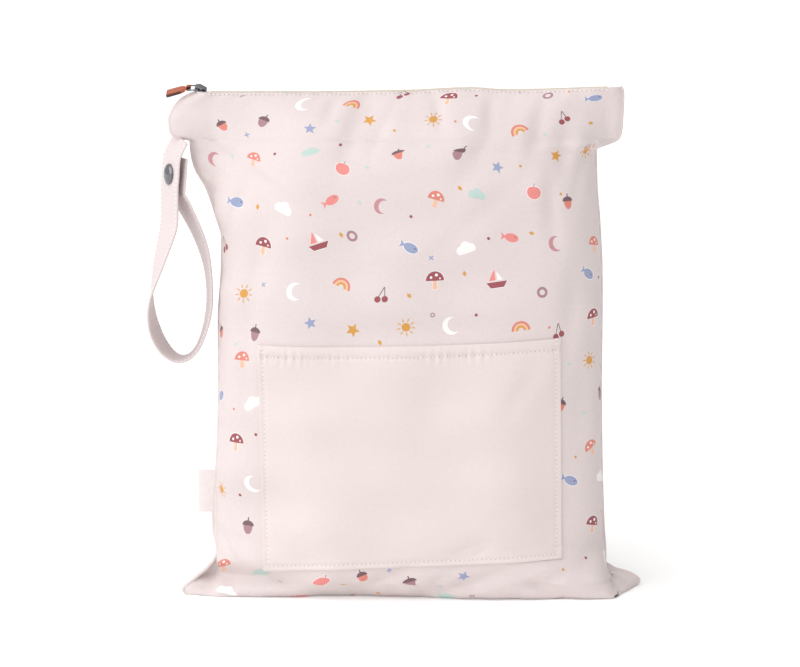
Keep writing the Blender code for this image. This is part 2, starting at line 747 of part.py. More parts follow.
def make_snap(metal, parent):
    middle, out = snap_place()[:2]
    surface = STRAP_THICKNESS / 2 + CLEARANCE
    dome = [(CAP_RADIUS * 0.96, 0.0), (CAP_RADIUS, CAP_RIM * 0.5), (CAP_RADIUS * 0.98, CAP_RIM)]
    for step in range(1, 6):
        angle = math.radians(15.0 * step)
        dome.append((CAP_RADIUS * 0.98 * math.cos(angle), CAP_RIM + CAP_DOME * math.sin(angle)))
    turned("snap_cap", dome, middle + out * surface, out, metal, parent)
    socket = [(SOCKET_RADIUS, 0.0), (SOCKET_RADIUS, SOCKET_HEIGHT * 0.6), (SOCKET_RADIUS * 0.8, SOCKET_HEIGHT)]
    turned("snap_socket", socket, middle - out * surface, -out, metal, parent)
    behind = middle - out * (STRAP_THICKNESS + snap_gap())
    stud = [(STUD_RADIUS, 0.0), (STUD_RADIUS, STUD_HEIGHT * 0.4), (STUD_RADIUS * 0.55, STUD_HEIGHT * 0.6)]
    stud.append((STUD_RADIUS * 0.5, STUD_HEIGHT))
    turned("snap_stud", stud, behind + out * surface, out, metal, parent)
    back = [(BACK_RADIUS, 0.0), (BACK_RADIUS, BACK_HEIGHT * 0.6), (BACK_RADIUS * 0.8, BACK_HEIGHT)]
    turned("snap_back", back, behind - out * surface, -out, metal, parent)


def make_label(material, parent):
    """A small folded label that stands out of the left seam."""
    rows = 8
    half = LABEL_THICKNESS / 2

    def profile(share):
        z = LABEL_LIFT + LABEL_HEIGHT * share
        section = section_at(z / BAG_HEIGHT)
        y = -section.skew * HALF_DEPTH
        inner = section.left * HALF_WIDTH - CLEARANCE
        outer = (section_at((LABEL_LIFT + LABEL_HEIGHT / 2) / BAG_HEIGHT).left * HALF_WIDTH) - LABEL_REACH
        return [
            Vector((inner, y - half, z)),
            Vector((inner, y + half, z)),
            Vector((outer, y + half * 1.5, z)),
            Vector((outer - half, y, z)),
            Vector((outer, y - half * 1.5, z)),
        ]

    return sweep_bar("side_label", [i / rows for i in range(rows + 1)], profile, material, parent)


def main():
    clear_scene()
    root = bpy.data.objects.new("wet_bag", None)
    bpy.context.scene.collection.objects.link(root)
    printed = make_material("printed_cotton", (0.84, 0.76, 0.74), 0.85)
    pocket = make_material("plain_cotton", (0.86, 0.77, 0.75), 0.85)
    strap = make_material("strap_cotton", (0.87, 0.78, 0.77), 0.85)
    tape = make_material("zip_tape", (0.88, 0.86, 0.81), 0.80)
    coil = make_material("zip_coil", (0.86, 0.83, 0.78), 0.45)
    gunmetal = make_material("gunmetal", (0.16, 0.16, 0.17), 0.28, 1.0)
    leather = make_material("brown_leather", (0.32, 0.10, 0.05), 0.50)
    label = make_material("label_tape", (0.84, 0.82, 0.78), 0.75)
    make_bag(printed, root)
    make_pocket(pocket, root)
    make_tape("zip_tape_front", "front", tape, root)
    make_tape("zip_tape_back", "back", tape, root)
    make_coil(coil, root)
    make_slider(gunmetal, root)
    make_link(gunmetal, root)
    make_tab(leather, root)
    make_strap(strap, root)
    make_snap(gunmetal, root)
    make_label(label, root)


main()
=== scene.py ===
import math
import random

import bmesh
import bpy
import numpy as np
from mathutils import Matrix, Vector
from mathutils.geometry import delaunay_2d_cdt
from mathutils.kdtree import KDTree


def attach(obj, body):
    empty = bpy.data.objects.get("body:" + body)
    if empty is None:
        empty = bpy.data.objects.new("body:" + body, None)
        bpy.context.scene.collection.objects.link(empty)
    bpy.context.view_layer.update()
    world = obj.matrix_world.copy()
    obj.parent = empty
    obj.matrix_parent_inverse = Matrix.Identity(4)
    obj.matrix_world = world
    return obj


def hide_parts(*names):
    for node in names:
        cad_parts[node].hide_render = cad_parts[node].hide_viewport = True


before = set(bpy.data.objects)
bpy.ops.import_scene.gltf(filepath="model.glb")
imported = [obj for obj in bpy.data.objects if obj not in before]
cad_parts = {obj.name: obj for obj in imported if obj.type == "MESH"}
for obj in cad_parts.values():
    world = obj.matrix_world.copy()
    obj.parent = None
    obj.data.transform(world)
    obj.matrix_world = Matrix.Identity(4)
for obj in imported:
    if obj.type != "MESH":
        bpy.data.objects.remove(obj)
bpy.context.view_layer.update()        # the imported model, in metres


# helpers for nodes, colours and meshes

def linearColour(hexColour):
    values = []
    for i in (1, 3, 5):
        part = int(hexColour[i:i + 2], 16) / 255
        values.append(part / 12.92 if part <= 0.04045 else ((part + 0.055) / 1.055) ** 2.4)
    return (*values, 1.0)


def addNode(tree, kind, values=None, links=None, **settings):
    node = tree.nodes.new(kind)
    for name, value in settings.items():
        setattr(node, name, value)
    for name, value in (values or {}).items():
        node.inputs[name].default_value = value
    for name, source in (links or {}).items():
        tree.links.new(source[0].outputs[source[1]], node.inputs[name])
    return node


def newMaterial(name):
    material = bpy.data.materials.new(name)
    material.use_nodes = True
    material.node_tree.nodes.clear()
    return material, material.node_tree


def newMesh(name, vertices, faces):
    mesh = bpy.data.meshes.new(name)
    mesh.from_pydata([tuple(v) for v in vertices], [], [tuple(map(int, face)) for face in faces])
    return mesh


def addUv(mesh, flat):      # each vertex's place on the flat cloth
    order = np.array([loop.vertex_index for loop in mesh.loops])
    mesh.uv_layers.new(name="cloth").data.foreach_set("uv", flat[order].reshape(-1))


def addPiece(name, mesh, material, crease=50.0):
    mesh.materials.append(material)
    mesh.shade_smooth()
    mesh.set_sharp_from_angle(angle=math.radians(crease))
    piece = bpy.data.objects.new(name, mesh)
    bpy.context.scene.collection.objects.link(piece)
    return piece


def gridFaces(rows, columns, start=0, flip=False):
    faces = []
    for i in range(rows - 1):
        for j in range(columns - 1):
            a = start + i * columns + j
            face = (a, a + 1, a + columns + 1, a + columns)
            faces.append(face[::-1] if flip else face)
    return faces


def unit(vectors):
    return vectors / np.maximum(np.linalg.norm(vectors, axis=-1, keepdims=True), 1e-12)


def softStep(values):
    values = np.clip(values, 0.0, 1.0)
    return values * values * (3 - 2 * values)


def ridge(away, wide):      # 1 on its line, and gone within two widths of it
    return np.exp(-(away / wide) ** 2)


def longDent(x, z, atX, atZ, turn, along, wide):      # 1 in its middle, drawn out along one way
    angle = math.radians(turn)
    run = (x - atX) * math.cos(angle) + (z - atZ) * math.sin(angle)
    beside = (z - atZ) * math.cos(angle) - (x - atX) * math.sin(angle)
    return np.exp(-((run / along) ** 2 + (beside / wide) ** 2))


def smoothCurve(knots, values, at):      # a curve through the knots that never swings past them
    knots = np.asarray(knots, dtype=float)
    values = np.asarray(values, dtype=float)
    at = np.clip(np.asarray(at, dtype=float), knots[0], knots[-1])
    steps = np.diff(knots)
    slopes = np.diff(values) / steps
    tangents = np.zeros(len(knots))
    tangents[0], tangents[-1] = slopes[0], slopes[-1]
    for i in range(1, len(knots) - 1):
        if slopes[i - 1] * slopes[i] > 0:
            first = 2 * steps[i] + steps[i - 1]
            second = steps[i] + 2 * steps[i - 1]
            tangents[i] = (first + second) / (first / slopes[i - 1] + second / slopes[i])
    index = np.clip(np.searchsorted(knots, at, side="right") - 1, 0, len(steps) - 1)
    span = steps[index]
    t = (at - knots[index]) / span
    return (values[index] * (1 + 2 * t) * (1 - t) ** 2 + tangents[index] * span * t * (1 - t) ** 2
            + values[index + 1] * t * t * (3 - 2 * t) + tangents[index + 1] * span * t * t * (t - 1))


def resample(points, run, at):
    return np.stack([np.interp(at, run, points[:, axis]) for axis in range(3)], axis=-1)


# the stuffed cloth, by level sections from the ground up
bagShape = {
    "width": 0.300, "height": 0.331, "depth": 0.102,
    "seamHalf": 0.0009,                                  # half of what the two panels keep apart at the seam
    "seamRadius": 0.00115, "seamSides": 8, "seamStep": 0.0002,
    "lean": -0.31, "leanTop": 0.12,                      # how far forward the lower ears turn, and up to where
    "foldOnset": 1.4, "foldTop": 3,                      # how soon folds begin, from the sides and from the top
    "topFrom": 0.80,                                     # the rise from which the top line lifts the cloth
    "levels": ((0, 0.06, 17), (0.06, 0.88, 72), (0.88, 1, 40)), "shares": 501, "baseRows": 14,
    "columns": 120, "step": 0.0025, "backUv": 0.5, "seamUv": 0.3,
}
# ears, as shares of the half width and of the height: two above, two that run to a point below
earShape = {"reach": 0.855, "onset": 0.06, "from": 0.30, "fade": 0.55, "power": 0.85, "footPower": 0.40,
            "footTop": 0.034, "footFade": 0.030, "footEdge": 0.95}
# the lower right corner stands square, with its ear behind it
cornerShape = {"top": 0.105, "fade": 0.070, "power": 5.5, "reach": 0.028, "edge": 0.120}
# above, the cloth swells within calmed seams, so that no ridge runs across from ear to ear
calmShape = {"span": 0.035, "steps": 9, "reach": 0.04, "edge": 0.010, "from": 0.60, "fade": 0.10}
# rise, left seam, right seam, depth in front, depth behind, ear depth, boxiness, seam skew
sections = np.array([
    (0.000, -0.978, 1.002, 0.82, 0.82, 0.82, 5.0, 0.24),
    (0.009, -0.997, 1.022, 0.90, 0.90, 0.72, 4.2, 0.24),
    (0.019, -0.975, 1.000, 0.94, 0.94, 0.48, 3.4, 0.23),
    (0.029, -0.945, 0.950, 0.96, 0.96, 0.20, 3.0, 0.21),
    (0.035, -0.928, 0.880, 0.97, 0.97, 0.12, 2.8, 0.19),
    (0.046, -0.895, 0.868, 0.98, 0.98, 0.12, 2.6, 0.17),
    (0.075, -0.850, 0.868, 1.00, 1.00, 0.12, 2.7, 0.12),
    (0.115, -0.871, 0.862, 1.01, 1.01, 0.12, 2.7, 0.08),
    (0.157, -0.873, 0.857, 1.02, 1.01, 0.12, 2.7, 0.06),
    (0.250, -0.855, 0.848, 1.02, 1.00, 0.12, 2.7, 0.02),
    (0.335, -0.845, 0.843, 1.01, 0.99, 0.12, 2.7, 0.00),
    (0.430, -0.840, 0.840, 1.00, 0.98, 0.12, 2.7, 0.00),
    (0.540, -0.838, 0.840, 0.99, 0.98, 0.12, 2.7, 0.00),
    (0.645, -0.822, 0.837, 0.97, 0.96, 0.12, 2.6, 0.00),
    (0.705, -0.819, 0.830, 0.96, 0.95, 0.12, 2.5, 0.00),
    (0.745, -0.843, 0.824, 0.945, 0.93, 0.12, 2.5, 0.00),
    (0.803, -0.885, 0.812, 0.91, 0.90, 0.20, 2.4, 0.00),
    (0.846, -0.936, 0.808, 0.86, 0.85, 0.18, 2.4, 0.00),
    (0.879, -0.950, 0.806, 0.80, 0.79, 0.15, 2.4, 0.00),
    (0.900, -0.953, 0.905, 0.75, 0.74, 0.13, 2.4, 0.00),
    (0.908, -1.028, 0.913, 0.73, 0.72, 0.13, 2.4, 0.00),
    (0.924, -1.042, 0.918, 0.665, 0.66, 0.14, 2.4, 0.00),
    (0.942, -1.044, 0.920, 0.575, 0.57, 0.14, 2.4, 0.00),
    (0.960, -1.030, 0.922, 0.46, 0.46, 0.14, 2.5, 0.00),
    (0.980, -1.000, 0.923, 0.31, 0.31, 0.14, 2.8, 0.00),
    (0.993, -0.960, 0.921, 0.20, 0.20, 0.14, 4.0, 0.00),
    (1.000, -0.925, 0.910, 0.140, 0.140, 0.14, 6.0, 0.00),
])
topLine = [(-1.05, -0.009), (-0.48, -0.009), (0.00, -0.006), (0.26, -0.001), (0.42, -0.005), (0.76, -0.001),
           (1.00, 0.003)]
# how the top hem turns in: share of the depth, lift
hemTurn = ((0.97, 0.0004), (0.91, 0.0006), (0.83, 0.0005), (0.77, 0.0), (0.755, -0.0015), (0.75, -0.0045))
# dents and soft folds: across, rise, which way they run, half length, half width, depth
frontFolds = [
    (-0.68, 0.925, -12, 0.34, 0.060, 0.085), (-0.50, 0.895, -20, 0.30, 0.050, -0.045),
    (-0.17, 0.955, 80, 0.12, 0.045, 0.060), (0.66, 0.870, 84, 0.15, 0.055, 0.095),
    (0.50, 0.900, 68, 0.13, 0.050, -0.035), (-0.85, 0.830, 55, 0.13, 0.040, 0.080),
    (-0.78, 0.060, -54, 0.13, 0.045, 0.090), (0.75, 0.400, 86, 0.22, 0.050, 0.055),
    (-0.28, 0.000, 0, 0.34, 0.080, 0.200), (-0.38, 0.045, 38, 0.12, 0.045, -0.040),
    (0.80, 0.075, 40, 0.10, 0.050, 0.055),
    # finer ones, for the cloth alone
    (-0.62, 0.915, -14, 0.38, 0.075, 0.075), (-0.10, 0.905, -8, 0.30, 0.060, 0.060),
    (0.84, 0.905, 62, 0.10, 0.034, 0.090), (0.55, 0.930, 74, 0.14, 0.040, 0.060),
    (-0.24, 0.930, 74, 0.16, 0.045, 0.060), (0.30, 0.885, 58, 0.20, 0.050, 0.045),
    (0.70, 0.580, 82, 0.30, 0.050, 0.050), (-0.66, 0.640, 76, 0.26, 0.050, 0.045),
    (0.10, 0.540, 4, 0.44, 0.060, 0.040), (-0.80, 0.095, -50, 0.12, 0.024, 0.070),
    (0.16, 0.020, 14, 0.20, 0.030, 0.070), (0.56, 0.026, -20, 0.14, 0.028, 0.070),
    (-0.88, 0.925, 8, 0.09, 0.016, 0.060), (-0.84, 0.880, -38, 0.11, 0.020, 0.075),
    (-0.72, 0.850, -30, 0.20, 0.030, 0.060), (-0.55, 0.820, -24, 0.20, 0.036, -0.030),
    (-0.74, 0.780, 62, 0.12, 0.020, 0.055), (-0.80, 0.700, 80, 0.14, 0.020, 0.045),
    (-0.34, 0.965, 70, 0.07, 0.020, 0.040), (0.12, 0.960, 100, 0.09, 0.024, 0.045),
    (-0.12, 0.930, 64, 0.10, 0.024, 0.050), (0.34, 0.955, 82, 0.08, 0.020, 0.040),
    (0.80, 0.900, 60, 0.10, 0.020, 0.080), (0.74, 0.850, 74, 0.15, 0.022, 0.075),
    (0.86, 0.880, 34, 0.07, 0.014, 0.050), (0.60, 0.780, 96, 0.18, 0.030, 0.040),
    (0.78, 0.700, 88, 0.20, 0.026, 0.045), (-0.70, 0.500, 86, 0.18, 0.028, 0.034),
    (0.79, 0.520, 88, 0.06, 0.014, 0.050), (-0.86, 0.085, -40, 0.10, 0.016, 0.080),
    (-0.76, 0.120, -66, 0.14, 0.020, 0.060), (-0.60, 0.040, -18, 0.12, 0.020, 0.060),
    (0.30, 0.045, 16, 0.16, 0.022, 0.045), (-0.10, 0.050, 24, 0.12, 0.020, 0.060),
    (0.12, 0.040, 34, 0.08, 0.016, 0.045), (0.62, 0.045, 22, 0.14, 0.020, 0.050),
    (0.82, 0.130, 66, 0.12, 0.018, 0.050), (-0.30, 0.700, 14, 0.30, 0.060, 0.026),
    (0.20, 0.620, -10, 0.34, 0.070, 0.024), (0.10, 0.830, 6, 0.30, 0.050, 0.030),
    (0.30, 0.760, 40, 0.26, 0.040, 0.024), (-0.20, 0.580, -34, 0.24, 0.040, 0.022),
]
backFolds = [
    (0.62, 0.890, 20, 0.30, 0.070, 0.080), (-0.70, 0.880, -60, 0.20, 0.060, 0.080),
    (0.10, 0.930, 86, 0.16, 0.060, 0.060), (-0.20, 0.030, 4, 0.40, 0.120, 0.110),
    (-0.84, 0.900, 20, 0.12, 0.018, 0.050), (0.80, 0.880, -46, 0.14, 0.020, 0.050),
    (-0.30, 0.940, 80, 0.10, 0.022, 0.030), (0.40, 0.950, 96, 0.10, 0.022, 0.030),
    (-0.74, 0.120, -50, 0.16, 0.024, 0.045), (0.78, 0.110, 48, 0.16, 0.024, 0.045),
    (0.20, 0.060, -20, 0.20, 0.024, 0.030), (-0.50, 0.500, 84, 0.24, 0.050, 0.020),
    (0.56, 0.520, 98, 0.26, 0.050, 0.020), (0.00, 0.720, 8, 0.36, 0.060, 0.020),
]
halfWidth = bagShape["width"] / 2
halfDepth = bagShape["depth"] / 2
height = bagShape["height"]


def sectionAt(rise):
    return [smoothCurve(sections[:, 0], sections[:, c], rise) for c in range(1, 8)]


def topLift(x, rise):
    knots, lifts = zip(*topLine)
    weight = np.clip((rise - bagShape["topFrom"]) / (1 - bagShape["topFrom"]), 0.0, 1.0) ** 2
    return smoothCurve(knots, lifts, x / halfWidth) * height * weight


def foldDepth(folds, x, z):
    total = np.zeros(np.broadcast(x, z).shape)
    for across, rise, turn, along, wide, deep in folds:
        dent = longDent(x, z, across * halfWidth, rise * height, turn, along * halfWidth, wide * halfWidth)
        total += deep * halfDepth * dent
    return total


def panelRows(side, rises, shares):
    left, right, front, back, ear, power, skew = (column[:, None] for column in sectionAt(rises))
    share, rise = shares[None, :], rises[:, None]
    corner = softStep((cornerShape["top"] - rise) / cornerShape["fade"]) * (share > 0)
    power = power + (cornerShape["power"] - power) * corner
    x = ((left + right) + (right - left) * share) / 2 * halfWidth
    # the body swells within its own reach, and eases out into the ears
    reach = earShape["reach"]
    low, high = np.maximum(left, -reach), np.minimum(right, reach + cornerShape["reach"] * corner)
    inside = (x / halfWidth - (low + high) / 2) / ((high - low) / 2)
    past = np.where(inside < 0, -left, right) - reach
    ease = softStep((np.abs(inside) - earShape["from"]) / earShape["fade"]) * (1 - corner)
    ease = np.clip(past / earShape["onset"], 0.0, 1.0) * ease
    foot = softStep((earShape["footTop"] - rise) / earShape["footFade"])
    blend = earShape["power"] - earShape["footPower"] * foot - 1 / power
    body = np.maximum(0.0, 1 - np.abs(inside) ** power) ** (1 / power + ease * blend)
    # the cloth of the ears: thick in the middle, closed at the seams
    fall = 1 / power + foot * (earShape["footEdge"] - 1 / power)
    swell = np.maximum(0.0, 1 - np.abs(share) ** power) ** fall
    swell = swell + (np.clip((1 - share) / cornerShape["edge"], 0.0, 1.0) - swell) * corner * foot
    near = np.linspace(-calmShape["span"], calmShape["span"], calmShape["steps"])
    calm = np.mean([sectionAt(np.clip(rises + k, 0.0, 1.0))[:2] for k in near], axis=0)[:, :, None]
    away = (x / halfWidth - (calm[0] + calm[1]) / 2) / ((calm[1] - calm[0]) / 2 + calmShape["reach"])
    edge = np.clip((1 - np.abs(share)) * (right - left) / 2 * halfWidth / calmShape["edge"], 0.0, 1.0)
    upper = np.maximum(0.0, 1 - np.abs(away) ** power) ** (1 / power) * np.sqrt(1 - (1 - edge) ** 2)
    swell = swell + (upper - swell) * softStep((rise - calmShape["from"]) / calmShape["fade"])
    rim = bagShape["seamHalf"]
    depth = (front if side == "front" else back) * halfDepth
    half = rim + (ear * halfDepth - rim) * swell + (depth - ear * halfDepth) * body
    give = foldDepth(frontFolds if side == "front" else backFolds, x, rise * height)
    give = give * np.minimum(1.0, body * bagShape["foldOnset"]) * np.minimum(1.0, front * bagShape["foldTop"])
    half = np.maximum(half - give, rim)
    lean = bagShape["lean"] * softStep((bagShape["leanTop"] - rise) / bagShape["leanTop"])
    seam = (skew * share + lean) * halfDepth * (1 - swell)
    y = seam + (-half if side == "front" else half)
    return np.stack([x, y, rise * height + topLift(x, rise)], axis=-1)


# ripples along the seams, the hem and the foot, and the slow slack between: heights, pitches, reaches
puckerShape = {
    "seam": 0.00055, "seamPitch": 0.0145, "seamReach": 0.014, "seamOnset": 0.004,
    "hem": 0.00045, "hemPitch": 0.0125, "hemReach": 0.011, "hemOnset": 0.003,
    "foot": 0.0006, "footPitch": 0.021, "footAt": 0.012, "footReach": 0.011,
    "slack": 0.0013, "slackSide": 0.03, "slackFoot": 0.01, "slackTop": 0.02,
}


def pucker(grid, up, low, high, phase):      # moves the cloth along its normals, where sewing draws it in
    shape = puckerShape
    s, t = np.linspace(-halfWidth, halfWidth, grid.shape[1])[None, :], up[:, None]
    normal = unit(np.cross(np.gradient(grid, axis=1), np.gradient(grid, axis=0)))
    side, top, foot = (np.maximum(v, 0.0) for v in (halfWidth - np.abs(s), high - t, t - low))
    wander = 2.3 * np.sin(t * 61 + phase) + 1.4 * np.sign(s) + 55 * side
    wave = np.sin(2 * math.pi * t / shape["seamPitch"] + wander)
    drop = shape["seam"] * wave * np.exp(-side / shape["seamReach"]) * softStep(side / shape["seamOnset"])
    wave = np.sin(2 * math.pi * s / shape["hemPitch"] + 2.0 * np.sin(s * 74 + phase) + 60 * top)
    fade = np.exp(-top / shape["hemReach"]) * softStep(top / shape["hemOnset"]) * (t < high)
    drop = drop + shape["hem"] * wave * fade
    wave = np.sin(2 * math.pi * s / shape["footPitch"] + 2.4 * np.sin(s * 43 + 2 * phase) + 80 * foot)
    drop = drop + shape["foot"] * wave * ridge(foot - shape["footAt"], shape["footReach"])
    # crossing waves of 40 to 90 mm
    slack = np.sin(38 * s + 71 * t + phase) * np.sin(92 * t - 33 * s + 1.1)
    slack = slack + 0.7 * np.sin(84 * s - 47 * t + 2.0) * np.sin(55 * t + 21 * s)
    fade = softStep(side / shape["slackSide"]) * softStep(top / shape["slackTop"])
    fade = fade * softStep((t - low - shape["slackFoot"]) / shape["slackSide"])
    grid += normal * (drop + shape["slack"] * slack * fade)[..., None]


def makePanel(side):      # one panel as a grid that is even on the flat cloth, from the base's seam to the hem
    rises = np.unique(np.concatenate([np.linspace(*level) for level in bagShape["levels"]]))
    shares = np.sin(np.linspace(-1, 1, bagShape["shares"]) * math.pi / 2)
    wall = panelRows(side, rises, shares)
    baseRows = bagShape["baseRows"]
    baseSeam = wall[0].copy()
    baseSeam[:, 1] = (sections[0, 7] * shares + bagShape["lean"] * shares ** 4) * halfDepth
    under = [baseSeam * (1 - k / baseRows) + wall[0] * (k / baseRows) for k in range(baseRows)]
    middle = (wall[-1, 0, 1] + wall[-1, -1, 1]) / 2
    hem = []
    for scale, lift in hemTurn:
        row = wall[-1].copy()
        row[:, 1] = middle + (row[:, 1] - middle) * scale
        row[:, 2] += lift
        hem.append(row)
    count = bagShape["columns"]
    even = []
    for row in np.concatenate([np.array(under), wall, np.array(hem)]):
        run = np.concatenate([[0], np.cumsum(np.linalg.norm(np.diff(row, axis=0), axis=1))])
        even.append(resample(row, run, np.linspace(0, run[-1], count + 1)))
    even = np.array(even)
    middleSteps = np.linalg.norm(np.diff(even[:, count // 4:-count // 4], axis=0), axis=2)
    flat = np.concatenate([[0], np.cumsum(np.median(middleSteps, axis=1))])
    at = np.linspace(0, flat[-1], int(round(flat[-1] / bagShape["step"])) + 1)
    grid = np.stack([resample(even[:, j], flat, at) for j in range(count + 1)], axis=1)
    baseEdge, topEdge = flat[baseRows], flat[baseRows + len(rises) - 1]
    pucker(grid, at, baseEdge, topEdge, 0.0 if side == "front" else 1.7)
    grid[:, :, 2] = np.maximum(grid[:, :, 2], 0.0)      # nothing under the ground
    return {"side": side, "grid": grid, "length": flat[-1], "baseEdge": baseEdge, "topEdge": topEdge,
            "leftSeam": even[:, 0], "rightSeam": even[:, -1]}


def surfaceAt(panel, s, t):      # s across and t up the flat cloth, in metres
    grid = panel["grid"]
    rows, columns = grid.shape[:2]
    a = np.clip(t / panel["length"] * (rows - 1), 0, rows - 1.000001)
    b = np.clip((s / bagShape["width"] + 0.5) * (columns - 1), 0, columns - 1.000001)
    i, j = a.astype(int), b.astype(int)
    weights = []
    for f in (a - i, b - j):
        weights.append([(-f + 2 * f ** 2 - f ** 3) / 2, (2 - 5 * f ** 2 + 3 * f ** 3) / 2,
                        (f + 4 * f ** 2 - 3 * f ** 3) / 2, (f ** 3 - f ** 2) / 2])
    total = 0
    for k in range(4):
        for m in range(4):
            point = grid[np.clip(i + k - 1, 0, rows - 1), np.clip(j + m - 1, 0, columns - 1)]
            total = total + (weights[0][k] * weights[1][m])[..., None] * point
    return total


def surfaceFrame(panel, s, t):
    step = 0.0015
    acrossWay = surfaceAt(panel, s + step, t) - surfaceAt(panel, s - step, t)
    upWay = surfaceAt(panel, s, t + step) - surfaceAt(panel, s, t - step)
    normal = unit(np.cross(acrossWay, upWay))
    return surfaceAt(panel, s, t), (normal if panel["side"] == "front" else -normal)


def flatPlace(panel, x, z):      # where on the flat cloth a point of the standing bag lies
    s = np.array(x, dtype=float)
    t = panel["baseEdge"] + np.array(z, dtype=float)
    step, edge = 0.001, 0.149
    for _ in range(12):
        point = surfaceAt(panel, s, t)
        slopeX = (surfaceAt(panel, s + step, t)[..., 0] - surfaceAt(panel, s - step, t)[..., 0]) / (2 * step)
        slopeZ = (surfaceAt(panel, s, t + step)[..., 2] - surfaceAt(panel, s, t - step)[..., 2]) / (2 * step)
        s = np.clip(s + (x - point[..., 0]) / np.maximum(slopeX, 0.3) * 0.9, -edge, edge)
        t = np.clip(t + (z - point[..., 2]) / np.maximum(slopeZ, 0.3) * 0.9, 0.0, panel["length"])
    return s, t


print("shaping the panels")
frontPanel = makePanel("front")
backPanel = makePanel("back")

# the generic print: plain little figures on a staggered layout, in flat millimetres
printLook = {
    "spacing": 33.0, "rowShare": 0.80, "columns": (9, 8), "jitter": 7.5, "turn": 32, "seed": 11,
    "small": 0.7, "smallX": 3, "smallY": 8,              # how many small figures there are, and how they stray
    "halo": 0.38, "depth": 0.84,                         # the pale rim, and how dark the inks dry
    "mesh": 3.3, "clear": 1.1,                           # the cloth's mesh, kept clear of the figures' edges
    "inks": {
        "burgundy": "#9A3F4A", "rose": "#C98A93", "coral": "#E08070", "salmon": "#EE8A85", "peach": "#F5C0A0",
        "mustard": "#DB9B35", "slate": "#97A1C4", "mint": "#BFD6D0", "plum": "#6B4A52", "mauve": "#A87C86",
        "white": "#FBF8F6", "dark": "#3A3236",
    },
}


def arc(centreX, centreY, radiusX, radiusY, first=0.0, last=360.0, count=20):
    steps = count if abs(last - first - 360) < 1e-6 else count + 1
    angles = [math.radians(first + (last - first) * k / count) for k in range(steps)]
    return [(centreX + radiusX * math.cos(a), centreY + radiusY * math.sin(a)) for a in angles]


# each figure is layers of outline and ink, one unit wide; no ink cuts through to the cloth

def starFigure(ink, other):
    radii = [(0.5 if k % 2 == 0 else 0.23, math.pi * k / 5) for k in range(10)]
    return [([(radius * math.sin(a), radius * math.cos(a)) for radius, a in radii], ink)]


def moonFigure(ink, other):
    return [(arc(0, 0, 0.5, 0.5, 55, 305, 22) + arc(0.22, 0, 0.415, 0.415, 279.3, 80.7, 16)[1:-1], ink)]


def cloudFigure(ink, other):
    right, left = arc(0.27, -0.02, 0.21, 0.21, -60, 75, 8), arc(-0.27, -0.02, 0.21, 0.21, 105, 240, 8)
    return [(right + arc(0.02, 0.10, 0.25, 0.25, 25, 155, 9) + left, ink)]


def mushroomFigure(ink, other):
    stem = [(-0.13, -0.48), (0.13, -0.48), (0.09, -0.05), (-0.09, -0.05)]
    spots = [(-0.2, 0.12, 0.07, 10), (0.08, 0.24, 0.08, 10), (0.26, 0.06, 0.05, 8)]
    layers = [(stem, "peach"), (arc(0, -0.06, 0.48, 0.50, 0, 180, 18), ink)]
    return layers + [(arc(x, y, radius, radius, count=count), "white") for x, y, radius, count in spots]


def rainbowFigure(ink, other):
    bands = ((0.5, 20, ink), (0.38, 18, other), (0.27, 16, "mustard"), (0.15, 12, None))
    return [(arc(0, -0.22, radius, radius, 0, 180, count), band) for radius, count, band in bands]


def sunFigure(ink, other):
    layers = [(arc(0, 0, 0.24, 0.24, count=18), ink)]
    for k in range(9):
        a = 2 * math.pi * k / 9
        ray = ((0.31, -0.035), (0.5, -0.025), (0.5, 0.025), (0.31, 0.035))
        layers.append(([(math.cos(a) * r - math.sin(a) * w, math.sin(a) * r + math.cos(a) * w) for r, w in ray],
                       ink))
    return layers


def cherryFigure(ink, other):
    stems = [[(-0.22, -0.22), (-0.18, -0.22), (0.08, 0.42), (0.03, 0.44)],
             [(0.16, -0.12), (0.21, -0.12), (0.09, 0.44), (0.05, 0.42)]]
    fruit = [arc(-0.2, -0.3, 0.18, 0.18, count=16), arc(0.2, -0.22, 0.18, 0.18, count=16)]
    return [(stem, "plum") for stem in stems] + [(cherry, ink) for cherry in fruit]


def acornFigure(ink, other):
    stalk = [(-0.04, 0.22), (0.04, 0.22), (0.03, 0.42), (-0.03, 0.42)]
    nut, cup = arc(0, -0.02, 0.27, 0.46, 180, 360, 16), arc(0, -0.02, 0.34, 0.27, 0, 180, 14)
    return [(nut, ink), (cup, "plum"), (stalk, "plum")]


def fishFigure(ink, other):
    tail = [(-0.24, 0.0), (-0.5, 0.2), (-0.44, 0.0), (-0.5, -0.2)]
    body, eye = arc(0.06, 0, 0.36, 0.22, count=24), arc(0.24, 0.05, 0.035, 0.035, count=8)
    return [(tail, ink), (body, ink), (eye, "dark")]


def boatFigure(ink, other):
    hull = [(-0.48, -0.12), (0.48, -0.12), (0.30, -0.38), (-0.30, -0.38)]
    mainSail = [(-0.03, -0.05), (-0.03, 0.48), (-0.36, -0.05)]
    foreSail = [(0.04, -0.05), (0.04, 0.36), (0.30, -0.05)]
    return [(hull, ink), (mainSail, other), (foreSail, "white")]


def appleFigure(ink, other):
    points = []
    for k in range(30):
        a = 2 * math.pi * k / 30 + math.pi / 2
        radius = 0.42 * (1 - 0.16 * math.exp(-((k if k < 15 else k - 30) / 2.2) ** 2))
        points.append((radius * math.cos(a), radius * 0.94 * math.sin(a) - 0.06))
    return [(points, ink), ([(-0.02, 0.26), (0.02, 0.26), (0.08, 0.48), (0.03, 0.5)], "plum")]


def ringFigure(ink, other):
    return [(arc(0, 0, 0.42, 0.42, count=20), ink), (arc(0, 0, 0.22, 0.22, count=14), None)]


def dotFigure(ink, other):
    return [(arc(0, 0, 0.4, 0.4, count=12), ink)]


